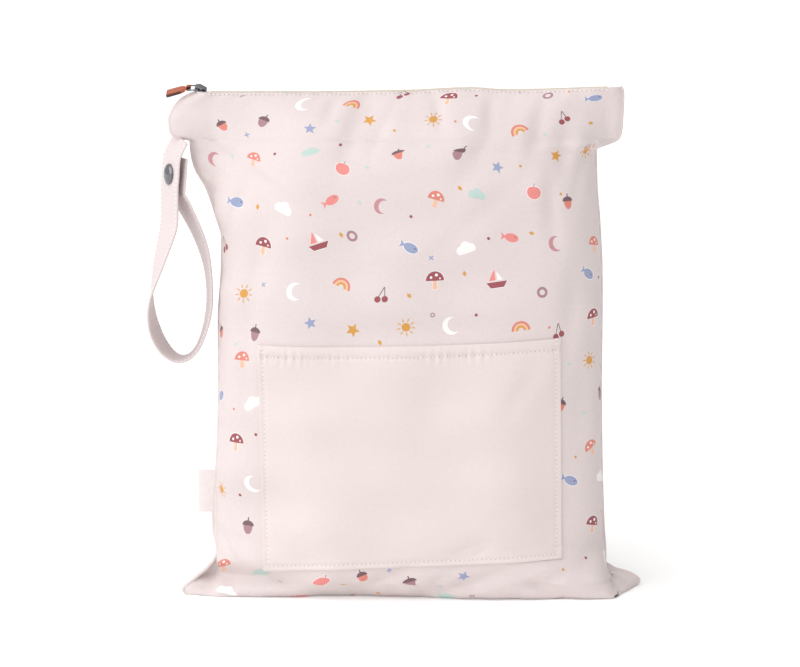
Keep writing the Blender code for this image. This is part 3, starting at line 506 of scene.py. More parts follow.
def plusFigure(ink, other):
    points = [(0.12, 0.12), (0.12, 0.5), (-0.12, 0.5), (-0.12, 0.12), (-0.5, 0.12), (-0.5, -0.12)]
    return [(points + [(-x, -y) for x, y in points], ink)]


def diamondFigure(ink, other):
    return [([(0, 0.5), (0.32, 0), (0, -0.5), (-0.32, 0)], ink)]


# figure, size, its two inks, and whether it has a pale rim
mainFigures = [
    (mushroomFigure, 12.5, "burgundy", "peach", True), (starFigure, 9.5, "mustard", "white", False),
    (cloudFigure, 12.0, "mint", "white", False), (fishFigure, 14.0, "slate", "white", True),
    (rainbowFigure, 12.5, "coral", "peach", False), (acornFigure, 12.5, "mauve", "plum", False),
    (moonFigure, 10.0, "rose", "white", False), (boatFigure, 14.5, "burgundy", "salmon", True),
    (sunFigure, 12.0, "mustard", "white", False), (appleFigure, 11.0, "salmon", "plum", True),
    (cloudFigure, 13.5, "white", "white", False), (cherryFigure, 11.5, "burgundy", "plum", False),
    (starFigure, 8.5, "slate", "white", False), (mushroomFigure, 11.5, "coral", "white", False),
    (ringFigure, 8.5, "mauve", "white", False), (moonFigure, 11.5, "white", "white", False),
    (acornFigure, 11.0, "coral", "plum", False), (fishFigure, 13.0, "salmon", "white", False),
]
smallFigures = [(dotFigure, 2.6, "burgundy"), (diamondFigure, 4.2, "mustard"), (plusFigure, 3.6, "slate"),
                (dotFigure, 2.2, "coral"), (ringFigure, 3.8, "mauve"), (diamondFigure, 3.8, "mint"),
                (dotFigure, 2.4, "mustard")]


def grow(points, amount):
    points = np.array(points)
    ahead, behind = np.roll(points, -1, axis=0), np.roll(points, 1, axis=0)
    area = 0.5 * np.sum(points[:, 0] * ahead[:, 1] - ahead[:, 0] * points[:, 1])
    way = unit(unit(ahead - points) + unit(points - behind))
    out = np.stack([way[:, 1], -way[:, 0]], axis=1) * (1 if area > 0 else -1)
    return points + out * amount


def layPrint(panel, skip, shift):      # the print's layers of outline and ink on one panel
    chooser = random.Random(printLook["seed"] + shift)
    wide, tall = bagShape["width"] * 1000, panel["length"] * 1000
    space, jitter, layers = printLook["spacing"], printLook["jitter"], []

    def place(figure, size, x, y, turn, halo):
        margin = size * 0.62 + 1.0
        if abs(x) > wide / 2 - margin or not margin < y < tall - margin or skip(x, y):
            return
        angle = math.radians(turn)
        spin = np.array([[math.cos(angle), math.sin(angle)], [-math.sin(angle), math.cos(angle)]])
        shapes = [(np.array(points) * size, ink) for points, ink in figure]
        if halo:
            rims = [points for points, ink in shapes if len(points) > 12 or ink != "white"]
            shapes = [(grow(points, printLook["halo"]), "white") for points in rims] + shapes
        layers.extend((points @ spin + np.array([x, y]), ink) for points, ink in shapes)

    rows = int(tall / (space * printLook["rowShare"]))
    index = shift * 5
    for row in range(rows):
        columns = printLook["columns"][row % 2]
        for column in range(columns):
            x = (column - (columns - 1) / 2) * space + chooser.uniform(-1, 1) * jitter
            y = (row + 0.5) * tall / rows + chooser.uniform(-1, 1) * jitter
            figure, size, ink, other, halo = mainFigures[(index * 7 + row) % len(mainFigures)]
            index += 1
            place(figure(ink, other), size, x, y, chooser.uniform(-printLook["turn"], printLook["turn"]), halo)
            figure, size, ink = smallFigures[chooser.randrange(len(smallFigures))]
            x = x + space / 2 + chooser.uniform(-printLook["smallX"], printLook["smallX"])
            y = y + chooser.uniform(-printLook["smallY"], printLook["smallY"])
            if chooser.random() < printLook["small"]:
                place(figure(ink, ink), size, x, y, chooser.uniform(0, 90), False)
    return layers


def insidePolygon(points, polygon):
    inside = np.zeros(len(points), dtype=bool)
    last = polygon[-1]
    for point in polygon:
        crosses = (point[1] > points[:, 1]) != (last[1] > points[:, 1])
        with np.errstate(divide="ignore", invalid="ignore"):
            edge = (last[0] - point[0]) * (points[:, 1] - point[1]) / (last[1] - point[1]) + point[0]
        inside ^= crosses & (points[:, 0] < edge)
        last = point
    return inside


def printedCloth(panel, layers):      # the flat cloth in triangles that follow the figures' outlines
    wide, tall = bagShape["width"] * 1000, panel["length"] * 1000
    inkPoints, edges = [], []
    for points, ink in layers:
        start = len(inkPoints)
        inkPoints.extend(map(tuple, points))
        edges.extend((start + k, start + (k + 1) % len(points)) for k in range(len(points)))
    near = KDTree(len(inkPoints))
    for k, point in enumerate(inkPoints):
        near.insert((*point, 0), k)
    near.balance()
    acrossCount, upCount = int(round(wide / printLook["mesh"])), int(round(tall / printLook["mesh"]))
    vertices = list(inkPoints)
    for i in range(upCount + 1):
        for j in range(acrossCount + 1):
            point = (-wide / 2 + wide * j / acrossCount, tall * i / upCount)
            border = i in (0, upCount) or j in (0, acrossCount)
            if border or near.find((*point, 0))[2] > printLook["clear"]:
                vertices.append(point)
    result = delaunay_2d_cdt([Vector(v) for v in vertices], edges, [], 0, 1e-4, False)
    flat = np.array([tuple(v) for v in result[0]])
    triangles = np.array(result[2])
    a, b, c = (flat[triangles[:, k]] for k in range(3))
    area = (b[:, 0] - a[:, 0]) * (c[:, 1] - a[:, 1]) - (c[:, 0] - a[:, 0]) * (b[:, 1] - a[:, 1])
    triangles[area < 0] = triangles[area < 0][:, ::-1]
    centres = flat[triangles].mean(axis=1)
    colours = np.zeros((len(triangles), 4))
    for points, ink in layers:
        low, high = points.min(axis=0), points.max(axis=0)
        close = np.nonzero(np.all((centres > low) & (centres < high), axis=1))[0]
        hit = close[insidePolygon(centres[close], points)] if len(close) else close
        dried = np.array(linearColour(printLook["inks"][ink or "white"])) * ([printLook["depth"]] * 3 + [1.0])
        colours[hit] = (0, 0, 0, 0) if ink is None else dried
    return flat / 1000, triangles, colours


# the patch pocket, in the standing bag's own x and z; its edges bow, so each is a level, a slope and a bend
pocketShape = {
    "width": 0.194, "height": 0.144, "lift": 0.0198, "cloth": 0.0011, "gap": 0.00012,
    "middle": 0.008, "lean": 0.011, "bottom": (0.030, 0.027, -0.006), "top": (1.030, 0.0155, 0.0115),
    "columns": 132, "rows": 100, "columnCrowd": 0.10, "rowCrowd": 0.5, "printMargin": 0.004,
    "stitchInset": 0.0030, "hemStitch": 0.0070,
}


def pocketPlace(share, up):      # share -1 to 1 across, up 0 to 1
    x = pocketShape["width"] * (share / 2 + pocketShape["middle"] - pocketShape["lean"] * up)
    low, high = (pocketShape["lift"] + pocketShape["height"] * (level + slope * share + bend * share ** 2)
                 for level, slope, bend in (pocketShape["bottom"], pocketShape["top"]))
    return x, low * (1 - up) + high * up


cornerX, cornerZ = pocketPlace(np.array([-1.0, 1.0, -1.0, 1.0]), np.array([0.0, 0.0, 1.0, 1.0]))
cornerS, cornerT = flatPlace(frontPanel, cornerX, cornerZ)


def underPocket(x, y):      # no print where the pocket hides it
    s, t, margin = x / 1000, y / 1000, pocketShape["printMargin"]
    return (cornerS.min() + margin < s < cornerS.max() - margin
            and cornerT.min() + margin < t < cornerT.max() - margin)


# materials

def makePoplin(name, look):
    # woven polyester poplin with a waterproof film behind it: matt, a faint sheen, fine square weave
    material, tree = newMaterial(name)
    cloth = (addNode(tree, "ShaderNodeUVMap", uv_map="cloth"), "UV")
    threads = {}
    for slot, way in enumerate("XY"):       # threads lie 0.25 mm apart, drawn at 0.8 mm so that they show
        threads[slot] = (addNode(tree, "ShaderNodeTexWave", {"Scale": 390.0, "Distortion": 1.2, "Detail": 1.0},
                                 {"Vector": cloth}, bands_direction=way), "Fac")
    weave = addNode(tree, "ShaderNodeMath", None, threads, operation="MAXIMUM")
    weaveBump = addNode(tree, "ShaderNodeBump", {"Strength": look["weave"], "Distance": 0.00012},
                        {"Height": (weave, "Value")})
    soft = addNode(tree, "ShaderNodeTexNoise",
                   {"Scale": 26.0, "Detail": 3.0, "Roughness": 0.45, "Distortion": 0.4}, {"Vector": cloth})
    softBump = addNode(tree, "ShaderNodeBump", {"Strength": look["soft"], "Distance": 0.0030},
                       {"Height": (soft, "Fac"), "Normal": (weaveBump, "Normal")})
    slub = addNode(tree, "ShaderNodeTexNoise", {"Scale": 420.0, "Detail": 2.0, "Roughness": 0.6},
                   {"Vector": cloth})
    tone = addNode(tree, "ShaderNodeMix", {6: linearColour(look["colour"]), 7: linearColour(look["deep"])},
                   {0: (slub, "Fac")}, data_type="RGBA")
    colour = (tone, 2)
    if look["printed"]:
        ink = addNode(tree, "ShaderNodeAttribute", attribute_name="printInk")
        worn = addNode(tree, "ShaderNodeMath", {1: -0.10, 2: 1.0}, {0: (slub, "Fac")}, operation="MULTIPLY_ADD")
        cover = addNode(tree, "ShaderNodeMath", None, {0: (ink, "Alpha"), 1: (worn, "Value")},
                        operation="MULTIPLY")
        inked = addNode(tree, "ShaderNodeMix", None, {0: (cover, "Value"), 6: (tone, 2), 7: (ink, "Color")},
                        data_type="RGBA")
        colour = (inked, 2)
    rough = addNode(tree, "ShaderNodeMapRange",
                    {"To Min": look["rough"] - 0.05, "To Max": look["rough"] + 0.06}, {"Value": (soft, "Fac")})
    shader = addNode(tree, "ShaderNodeBsdfPrincipled",
                     {"IOR": 1.5, "Sheen Weight": look["sheen"], "Sheen Roughness": 0.45},
                     {"Base Color": colour, "Roughness": (rough, "Result"), "Normal": (softBump, "Normal")})
    addNode(tree, "ShaderNodeOutputMaterial", None, {"Surface": (shader, "BSDF")})
    return material


def makeTapeCloth(name, colourHex, deepHex, ribPitch):
    # woven polyester tape: dense cross ribs, a soft satin face
    material, tree = newMaterial(name)
    place = (addNode(tree, "ShaderNodeTexCoord"), "Object")
    ribs = {}
    for slot, way in enumerate("XZ"):       # a wave of scale 1 is 0.314 m long
        ribs[slot] = (addNode(tree, "ShaderNodeTexWave", {"Scale": 0.314 / ribPitch, "Distortion": 0.6},
                              {"Vector": place}, bands_direction=way), "Fac")
    both = addNode(tree, "ShaderNodeMath", None, ribs, operation="ADD")
    bump = addNode(tree, "ShaderNodeBump", {"Strength": 0.35, "Distance": 0.00015}, {"Height": (both, "Value")})
    fade = addNode(tree, "ShaderNodeTexNoise", {"Scale": 300.0, "Detail": 2.0}, {"Vector": place})
    tone = addNode(tree, "ShaderNodeMix", {6: linearColour(colourHex), 7: linearColour(deepHex)},
                   {0: (fade, "Fac")}, data_type="RGBA")
    shader = addNode(tree, "ShaderNodeBsdfPrincipled", {"Roughness": 0.62, "IOR": 1.5, "Sheen Weight": 0.1},
                     {"Base Color": (tone, 2), "Normal": (bump, "Normal")})
    addNode(tree, "ShaderNodeOutputMaterial", None, {"Surface": (shader, "BSDF")})
    return material


def makePlain(name, colourHex, deepHex, roughness, ior=1.5, metallic=0.0, grain=600.0, relief=0.00003):
    material, tree = newMaterial(name)
    place = (addNode(tree, "ShaderNodeTexCoord"), "Object")
    fine = addNode(tree, "ShaderNodeTexNoise", {"Scale": grain, "Detail": 4.0, "Roughness": 0.6},
                   {"Vector": place})
    tone = addNode(tree, "ShaderNodeMix", {6: linearColour(colourHex), 7: linearColour(deepHex)},
                   {0: (fine, "Fac")}, data_type="RGBA")
    rough = addNode(tree, "ShaderNodeMapRange", {"To Min": roughness - 0.06, "To Max": roughness + 0.08},
                    {"Value": (fine, "Fac")})
    bump = addNode(tree, "ShaderNodeBump", {"Strength": 0.3, "Distance": relief}, {"Height": (fine, "Fac")})
    shader = addNode(tree, "ShaderNodeBsdfPrincipled", {"Metallic": metallic, "IOR": ior},
                     {"Base Color": (tone, 2), "Roughness": (rough, "Result"), "Normal": (bump, "Normal")})
    addNode(tree, "ShaderNodeOutputMaterial", None, {"Surface": (shader, "BSDF")})
    return material


def makeLeather(name):
    # vegetable-tanned leather: fine pores, waxed face, darker burnished edges from the "edge" attribute
    material, tree = newMaterial(name)
    place = (addNode(tree, "ShaderNodeTexCoord"), "Object")
    pores = addNode(tree, "ShaderNodeTexVoronoi", {"Scale": 1600.0}, {"Vector": place})
    cloudy = addNode(tree, "ShaderNodeTexNoise", {"Scale": 260.0, "Detail": 4.0}, {"Vector": place})
    face = addNode(tree, "ShaderNodeMix", {6: linearColour("#BE6038"), 7: linearColour("#8E3F22")},
                   {0: (cloudy, "Fac")}, data_type="RGBA")
    edge = addNode(tree, "ShaderNodeAttribute", attribute_name="edge")
    worn = addNode(tree, "ShaderNodeMix", {7: linearColour("#4A2016")}, {0: (edge, "Fac"), 6: (face, 2)},
                   data_type="RGBA")
    bump = addNode(tree, "ShaderNodeBump", {"Strength": 0.4, "Distance": 0.00008},
                   {"Height": (pores, "Distance")})
    shader = addNode(tree, "ShaderNodeBsdfPrincipled", {"Roughness": 0.46, "IOR": 1.5},
                     {"Base Color": (worn, 2), "Normal": (bump, "Normal")})
    addNode(tree, "ShaderNodeOutputMaterial", None, {"Surface": (shader, "BSDF")})
    return material


printedPoplin = makePoplin("printedPoplin", {
    "colour": "#D6CAC9", "deep": "#CDC0BE",
    "rough": 0.62, "sheen": 0.08, "weave": 0.12, "soft": 0.34, "printed": True})
plainPoplin = makePoplin("plainPoplin", {
    "colour": "#D9CDCA", "deep": "#D2C5C2",
    "rough": 0.56, "sheen": 0.08, "weave": 0.12, "soft": 0.30, "printed": False})
strapPoplin = makePoplin("strapPoplin", {
    "colour": "#D6CAC9", "deep": "#CDBFBE",
    "rough": 0.58, "sheen": 0.08, "weave": 0.16, "soft": 0.12, "printed": False})
zipTapeWeave = makeTapeCloth("zipTapeWeave", "#EFECE8", "#E2DDD6", 0.0007)
labelSatin = makeTapeCloth("labelSatin", "#E6DDDC", "#DAD0CE", 0.0006)
coilNylon = makePlain("coilNylon", "#F1EADF", "#E0D6C8", 0.40, 1.53)                  # moulded, a soft gloss
sewingThread = makePlain("sewingThread", "#F8F0ED", "#E6DAD6", 0.70, grain=1500.0)    # spun polyester, matt
needleHole = makePlain("needleHole", "#BAA8A3", "#9E8C88", 0.85)                      # the shade in a hole
# black nickel plating: dark, smooth, a clear reflection
gunmetal = makePlain("gunmetalPlate", "#8E8D90", "#66656A", 0.14, metallic=1.0, grain=900.0, relief=0.00001)
pullLeather = makeLeather("pullLeather")


# the bag itself

def seamTube(points, vertices, faces):      # the turned seam that closes two panels
    start, sides, radius = len(vertices), bagShape["seamSides"], bagShape["seamRadius"]
    count = len(points)
    for i in range(count):
        along = unit(points[min(i + 1, count - 1)] - points[max(i - 1, 0)])
        side = unit(np.cross(along, (0.0, 1.0, 0.0)))
        up = np.cross(side, along)
        for k in range(sides):
            a = 2 * math.pi * k / sides
            place = points[i] + side * (radius * math.cos(a)) + up * (radius * math.sin(a))
            vertices.append(np.array([place[0], place[1], max(place[2], 0.0)]))
    for i in range(count - 1):
        for k in range(sides):
            a, b = start + i * sides + k, start + i * sides + (k + 1) % sides
            faces.append((a, a + sides, b + sides, b))
    faces.append(tuple(start + k for k in range(sides)))
    faces.append(tuple(start + (count - 1) * sides + k for k in range(sides))[::-1])


def makeBag():
    vertices, faces, colours, flats = [], [], [], []
    for panel, skip, shift in ((frontPanel, underPocket, 0), (backPanel, lambda x, y: False, 1)):
        flat, triangles, inks = printedCloth(panel, layPrint(panel, skip, shift))
        start = len(vertices)
        vertices.extend(surfaceAt(panel, flat[:, 0], flat[:, 1]))
        if panel["side"] == "back":
            triangles = triangles[:, ::-1]
        faces.extend(map(tuple, triangles + start))
        colours.append(np.repeat(inks, 3, axis=0))
        flats.append(flat[triangles.reshape(-1)] + np.array([bagShape["backUv"] * shift, 0.0]))
    for name in ("leftSeam", "rightSeam"):
        path = ((frontPanel[name] + backPanel[name]) / 2)[bagShape["baseRows"]:-len(hemTurn)]
        steps = np.linalg.norm(np.diff(path, axis=0), axis=1)
        seamTube(path[np.concatenate([[True], steps > bagShape["seamStep"]])], vertices, faces)
    mesh = newMesh("bagCloth", vertices, faces)
    inkLayer = mesh.color_attributes.new("printInk", "FLOAT_COLOR", "CORNER")
    uvLayer = mesh.uv_layers.new(name="cloth")
    printed, both = np.concatenate(colours), np.concatenate(flats)
    rest = np.array([mesh.vertices[loop.vertex_index].co[:] for loop in mesh.loops[len(both):]])
    rest = np.stack([rest[:, 1] * 2 + bagShape["seamUv"], rest[:, 2]], axis=1)
    inkLayer.data.foreach_set("color", np.concatenate([printed, np.zeros((len(rest), 4))]).reshape(-1))
    uvLayer.data.foreach_set("uv", np.concatenate([both, rest]).reshape(-1))
    print("bag:", len(faces), "faces")
    return addPiece("bagCloth", mesh, printedPoplin, 70.0)


print("making the bag")
bag = makeBag()


# the pocket's relief, in metres: how high and how wide each ridge or groove is, and the ripples' pitches
reliefShape = {
    "puff": 0.0011, "puffFrom": 0.004, "puffWide": 0.030, "softFrom": 0.008,
    "seam": (0.00055, 0.0009), "rim": (0.00035, 0.0010), "rimAt": 0.0011,
    "hem": (0.00065, 0.0011), "ripple": (0.00058, 0.0042), "ripplePitch": 0.0043,
    "lip": (0.00045, 0.0026), "lipAt": 0.0028, "pull": (0.00014, 0.0036), "pullPitch": 0.0061,
}
# its soft dents: x, z, which way they run, half length, half width, depth
pocketDents = [
    (0.045, 0.038, 38, 0.030, 0.007, 0.00140), (0.062, 0.050, 30, 0.026, 0.006, -0.00098),
    (0.030, 0.030, 24, 0.022, 0.006, 0.00084), (-0.060, 0.120, -35, 0.030, 0.009, 0.00112),
    (0.072, 0.140, 60, 0.022, 0.007, 0.00126), (-0.020, 0.085, 12, 0.060, 0.016, 0.00098),
    (-0.070, 0.040, -60, 0.022, 0.008, 0.00098), (0.010, 0.120, 80, 0.030, 0.012, 0.00084),
]


def pocketRelief(x, z, share, up):
    shape, inset, hem = reliefShape, pocketShape["stitchInset"], pocketShape["hemStitch"]
    side = (1 - np.abs(share)) * pocketShape["width"] / 2
    bottom, top = up * pocketShape["height"], (1 - up) * pocketShape["height"]
    edge = np.minimum(side, bottom)

    def line(key, away):
        return shape[key][0] * ridge(away, shape[key][1])

    relief = shape["puff"] * softStep((np.minimum(edge, top) - shape["puffFrom"]) / shape["puffWide"])
    relief = relief - line("seam", edge - inset) * softStep((top - 0.001) / 0.004)
    relief = relief + line("rim", edge - shape["rimAt"])
    relief = relief - line("hem", top - hem) + line("lip", top - shape["lipAt"])
    ripple = np.sin(2 * math.pi * x / shape["ripplePitch"] + 2.2 * np.sin(x * 210.0) + 1.3 * np.sin(x * 97.0))
    relief = relief + line("ripple", top - hem) * ripple * (0.6 + 0.4 * np.sin(x * 61.0))
    pull = np.sin(2 * math.pi * z / shape["pullPitch"] + 1.9 * np.sin(z * 190.0))
    relief = relief + line("pull", side - inset) * pull
    for atX, atZ, turn, along, wide, deep in pocketDents:
        dent = longDent(x, z, atX, atZ, turn, along, wide) * softStep(edge / shape["softFrom"])
        relief = relief - deep * dent
    return relief


def pocketPoint(share, up, lift=0.0, outer=True):
    x, z = pocketPlace(share, up)
    s, t = flatPlace(frontPanel, x, z)
    point, normal = surfaceFrame(frontPanel, s, t)
    offset = np.full(np.shape(x), pocketShape["gap"])
    if outer:
        offset = offset + pocketShape["cloth"] + pocketRelief(x, z, share, up) + lift
    return point + normal * offset[..., None], s, t


def makePocket():
    columns, rows = pocketShape["columns"], pocketShape["rows"]
    # columns crowd a little at the sides, and rows at the bottom and the hem
    across, ups = np.linspace(-1, 1, columns + 1), np.linspace(0, 1, rows + 1)
    across = across + pocketShape["columnCrowd"] * np.sin(across * math.pi) / math.pi
    ups = ups - pocketShape["rowCrowd"] * np.sin(ups * 2 * math.pi) / (2 * math.pi)
    share, up = np.meshgrid(np.clip(across, -1, 1), ups)
    outer, s, t = pocketPoint(share, up)
    inner, _, _ = pocketPoint(share, up, outer=False)
    vertices = np.concatenate([outer.reshape(-1, 3), inner.reshape(-1, 3)])
    count = share.size
    faces = gridFaces(rows + 1, columns + 1) + gridFaces(rows + 1, columns + 1, count, True)
    index = np.arange(count).reshape(share.shape)
    rim = np.concatenate([index[0], index[1:, -1], index[-1, -2::-1], index[-2:0:-1, 0]])
    faces += [(b, a, a + count, b + count) for a, b in zip(rim, np.roll(rim, -1))]
    mesh = newMesh("patchPocket", vertices, faces)
    flat = np.stack([s.reshape(-1), t.reshape(-1)], axis=1)
    addUv(mesh, np.concatenate([flat, flat]))
    return addPiece("patchPocket", mesh, plainPoplin, 60.0)


print("making the pocket")
pocket = makePocket()


# stitches and coil teeth: small beads along a line, by geometry nodes

def beadTree(name):
    tree = bpy.data.node_groups.new(name, "GeometryNodeTree")
    socket = tree.interface.new_socket
    socket("Line", in_out="INPUT", socket_type="NodeSocketGeometry")
    for label, value in (("Pitch", 0.003), ("Length", 0.002), ("Width", 0.0004), ("Height", 0.0004)):
        socket(label, in_out="INPUT", socket_type="NodeSocketFloat").default_value = value
    socket("Every Second From", in_out="INPUT", socket_type="NodeSocketInt").default_value = 0
    socket("Finish", in_out="INPUT", socket_type="NodeSocketMaterial")
    socket("Mesh", in_out="OUTPUT", socket_type="NodeSocketGeometry")
    given = addNode(tree, "NodeGroupInput")
    halved = addNode(tree, "ShaderNodeMath", {1: 0.5}, {0: (given, "Pitch")}, operation="MULTIPLY")
    even = addNode(tree, "GeometryNodeResampleCurve", None,
                   {"Curve": (given, "Line"), "Length": (halved, "Value")}, mode="LENGTH")
    dots = addNode(tree, "GeometryNodeCurveToPoints", None, {"Curve": (even, "Curve")}, mode="EVALUATED")
    index = addNode(tree, "GeometryNodeInputIndex")
    shifted = addNode(tree, "ShaderNodeMath", None, {0: (index, "Index"), 1: (given, "Every Second From")},
                      operation="ADD")
    odd = addNode(tree, "ShaderNodeMath", {1: 2.0}, {0: (shifted, "Value")}, operation="MODULO")
    turn = addNode(tree, "FunctionNodeAlignRotationToVector", None, {"Vector": (dots, "Tangent")}, axis="Z")
    ball = addNode(tree, "GeometryNodeMeshUVSphere", {"Segments": 6, "Rings": 4, "Radius": 0.5})
    size = addNode(tree, "ShaderNodeCombineXYZ", None,
                   {"X": (given, "Height"), "Y": (given, "Width"), "Z": (given, "Length")})
    each = addNode(tree, "GeometryNodeInstanceOnPoints", None,
                   {"Points": (dots, "Points"), "Instance": (ball, "Mesh"), "Selection": (odd, "Value"),
                    "Rotation": (turn, "Rotation"), "Scale": (size, "Vector")})
    real = addNode(tree, "GeometryNodeRealizeInstances", None, {"Geometry": (each, "Instances")})
    finish = addNode(tree, "GeometryNodeSetMaterial", None,
                     {"Geometry": (real, "Geometry"), "Material": (given, "Finish")})
    addNode(tree, "NodeGroupOutput", None, {"Mesh": (finish, "Geometry")})
    return tree


beadsAlong = beadTree("beadsAlongLine")


def lineCurve(name, lines):
    data = bpy.data.curves.new(name, "CURVE")
    data.dimensions = "3D"
    for line in lines:
        spline = data.splines.new("POLY")
        spline.points.add(len(line) - 1)
        for point, place in zip(spline.points, line):
            point.co = (*place, 1.0)
    curve = bpy.data.objects.new(name, data)
    bpy.context.scene.collection.objects.link(curve)
    return curve


def beads(name, lines, sizes, material):
    curve = lineCurve(name + "Line", lines)
    modifier = curve.modifiers.new("beads", "NODES")
    modifier.node_group = beadsAlong
    ids = {item.name: item.identifier for item in beadsAlong.interface.items_tree if item.in_out == "INPUT"}
    for label, value in sizes.items():
        modifier[ids[label]] = value
    modifier[ids["Finish"]] = material
    result = curve.evaluated_get(bpy.context.evaluated_depsgraph_get())
    mesh = bpy.data.meshes.new_from_object(result)
    curve.modifiers.clear()
    bpy.data.objects.remove(curve, do_unlink=True)
    mesh.materials.clear()
    mesh.name = name
    return addPiece(name, mesh, material, 60.0)


stitchSizes = {"pitch": 0.0029, "length": 0.0024, "width": 0.00052, "hole": 0.00052, "lift": 0.00012,
               "hemLift": 0.0001, "hemInset": 0.0024, "hemHalf": 0.137}


def sewLine(name, lines):      # thread and needle holes by turns
    pieces = []
    for part, material, long, wide, first in (
            ("Thread", sewingThread, stitchSizes["length"], stitchSizes["width"], 0),
            ("Holes", needleHole, stitchSizes["hole"], stitchSizes["hole"], 1)):
        sizes = {"Pitch": stitchSizes["pitch"], "Length": long, "Width": wide, "Height": wide,
                 "Every Second From": first}
        pieces.append(beads(name + part, lines, sizes, material))
    return pieces


def pocketLine(share, up):
    return pocketPoint(share, up, lift=stitchSizes["lift"])[0]


print("sewing")
insetShare = 1 - 2 * pocketShape["stitchInset"] / pocketShape["width"]
insetUp = pocketShape["stitchInset"] / pocketShape["height"]
hemUp = 1 - pocketShape["hemStitch"] / pocketShape["height"]
down, over = np.linspace(0.996, insetUp, 160), np.linspace(-insetShare, insetShare, 220)
outline = np.concatenate([pocketLine(-insetShare, down), pocketLine(over[1:], insetUp),
                          pocketLine(insetShare, down[::-1][1:])])
hemLine = pocketLine(np.linspace(-0.985, 0.985, 240), hemUp)
pocketStitches = sewLine("pocketStitch", [outline, hemLine])

alongTop = np.linspace(-stitchSizes["hemHalf"], stitchSizes["hemHalf"], 300)
topLines = []
for panel in (frontPanel, backPanel):
    point, normal = surfaceFrame(panel, alongTop, np.full(300, panel["topEdge"] - stitchSizes["hemInset"]))
    topLines.append(point + normal * stitchSizes["hemLift"])
hemStitches = sewLine("hemStitch", topLines)

# the zip
zipShape = {
    "left": -0.925 * halfWidth + 0.0042, "right": 0.926 * halfWidth - 0.0042, "drop": 0.0026 * 0.35,
    "slotDepth": 0.14, "wall": 0.0015, "clear": 0.0003,
    "tapeInner": 0.00025, "tapeSlack": 0.0006, "tapeThick": 0.0007, "tapeEnd": 0.00126, "tapeWave": 0.00012,
    "coilEnd": 0.0036, "coilLift": 0.00022, "coilWide": 0.0040,
    "toothPitch": 0.00145, "toothWide": 0.0034, "toothHigh": 0.00115, "toothLong": 0.00098,
    "toothSide": 0.00075, "toothLift": 0.00120,
}
# half of the coil's cross-section: share of its half width, and height
coilRidge = ((-1, 0), (-0.9, 0.0005), (-0.5, 0.0008), (-0.12, 0.0007))


def topAt(x):
    return height + topLift(x, 1.0)


def slotHalfAt(x):
    middle, half = (zipShape["left"] + zipShape["right"]) / 2, (zipShape["right"] - zipShape["left"]) / 2
    share = np.clip(np.abs((x - middle) / half), 0, 1)
    most = zipShape["slotDepth"] * halfDepth - zipShape["wall"] - zipShape["clear"]
    return zipShape["clear"] + most * np.maximum(0, 1 - share ** 6) ** (1 / 6)


def sweptMesh(name, rings):      # a closed skin over rings of points, capped at both ends
    rings = np.asarray(rings)
    count, sides = rings.shape[:2]
    shape = bmesh.new()
    made = [shape.verts.new(v) for v in rings.reshape(-1, 3)]
    for i in range(count - 1):
        for k in range(sides):
            m = (k + 1) % sides
            shape.faces.new([made[n] for n in (i * sides + k, i * sides + m, (i + 1) * sides + m,
                                               (i + 1) * sides + k)])
    shape.faces.new(made[:sides][::-1])
    shape.faces.new(made[(count - 1) * sides:])
    bmesh.ops.recalc_face_normals(shape, faces=shape.faces)
    mesh = bpy.data.meshes.new(name)
    shape.to_mesh(mesh)
    shape.free()
    return mesh


def makeTape(name, sign):
    rings = []
    for x in np.linspace(zipShape["left"] + zipShape["tapeEnd"], zipShape["right"] - zipShape["tapeEnd"], 160):
        top = float(topAt(x)) - zipShape["drop"]
        outer, inner = float(slotHalfAt(x)) - zipShape["tapeSlack"], zipShape["tapeInner"]
        wave, low = zipShape["tapeWave"] * math.sin(x * 900.0), -zipShape["tapeThick"]
        face = [(outer, -0.0001), (outer * 0.8, 0.0), (outer * 0.5, 0.00012), (inner, 0.00012)]
        rings.append([(x, sign * y, top + low) for y in (inner, outer * 0.6, outer)]
                     + [(x, sign * y, top + z + wave) for y, z in face])
    return addPiece(name, sweptMesh(name, rings), zipTapeWeave, 40.0)


def makeCoil():
    xs = np.linspace(zipShape["left"] + zipShape["coilEnd"], zipShape["right"] - zipShape["coilEnd"], 200)
    ridgePoints = coilRidge + tuple((-y, z) for y, z in coilRidge[::-1])
    rings = []
    for x in xs:
        low = float(topAt(x)) - zipShape["drop"] + zipShape["coilLift"]
        rings.append([(x, y * zipShape["coilWide"] / 2, low + z) for y, z in ridgePoints])
    pieces = [addPiece("zipCoilCore", sweptMesh("zipCoilCore", rings), coilNylon)]
    pitch = zipShape["toothPitch"]
    sizes = {"Pitch": pitch, "Length": zipShape["toothLong"], "Width": zipShape["toothWide"],
             "Height": zipShape["toothHigh"], "Every Second From": 0}
    for name, sign, first in (("zipTeethFront", -1.0, 0.0), ("zipTeethBack", 1.0, pitch / 2)):
        row = xs[0] + 0.001 + first + np.arange(0, xs[-1] - xs[0] - 0.003, pitch)
        line = np.stack([row, np.full(len(row), sign * zipShape["toothSide"]),
                         topAt(row) - zipShape["drop"] + zipShape["toothLift"]], axis=1)
        pieces.append(beads(name, [line], sizes, coilNylon))
    # core and teeth as one piece
    shape = bmesh.new()
    for piece in pieces:
        shape.from_mesh(piece.data)
        bpy.data.objects.remove(piece, do_unlink=True)
    mesh = bpy.data.meshes.new("zipCoil")
    shape.to_mesh(mesh)
    shape.free()
    return addPiece("zipCoil", mesh, coilNylon)


print("making the zip")
tapeFront = makeTape("zipTapeFront", -1.0)
tapeBack = makeTape("zipTapeBack", 1.0)
coil = makeCoil()

# the leather tab: a rounded copy of the solid's, and how wide its burnished edge is
tabShape = {"bevel": 0.00038, "merge": 0.00002, "slice": 0.0016, "burnish": 0.00030, "endBurnish": 0.0004}


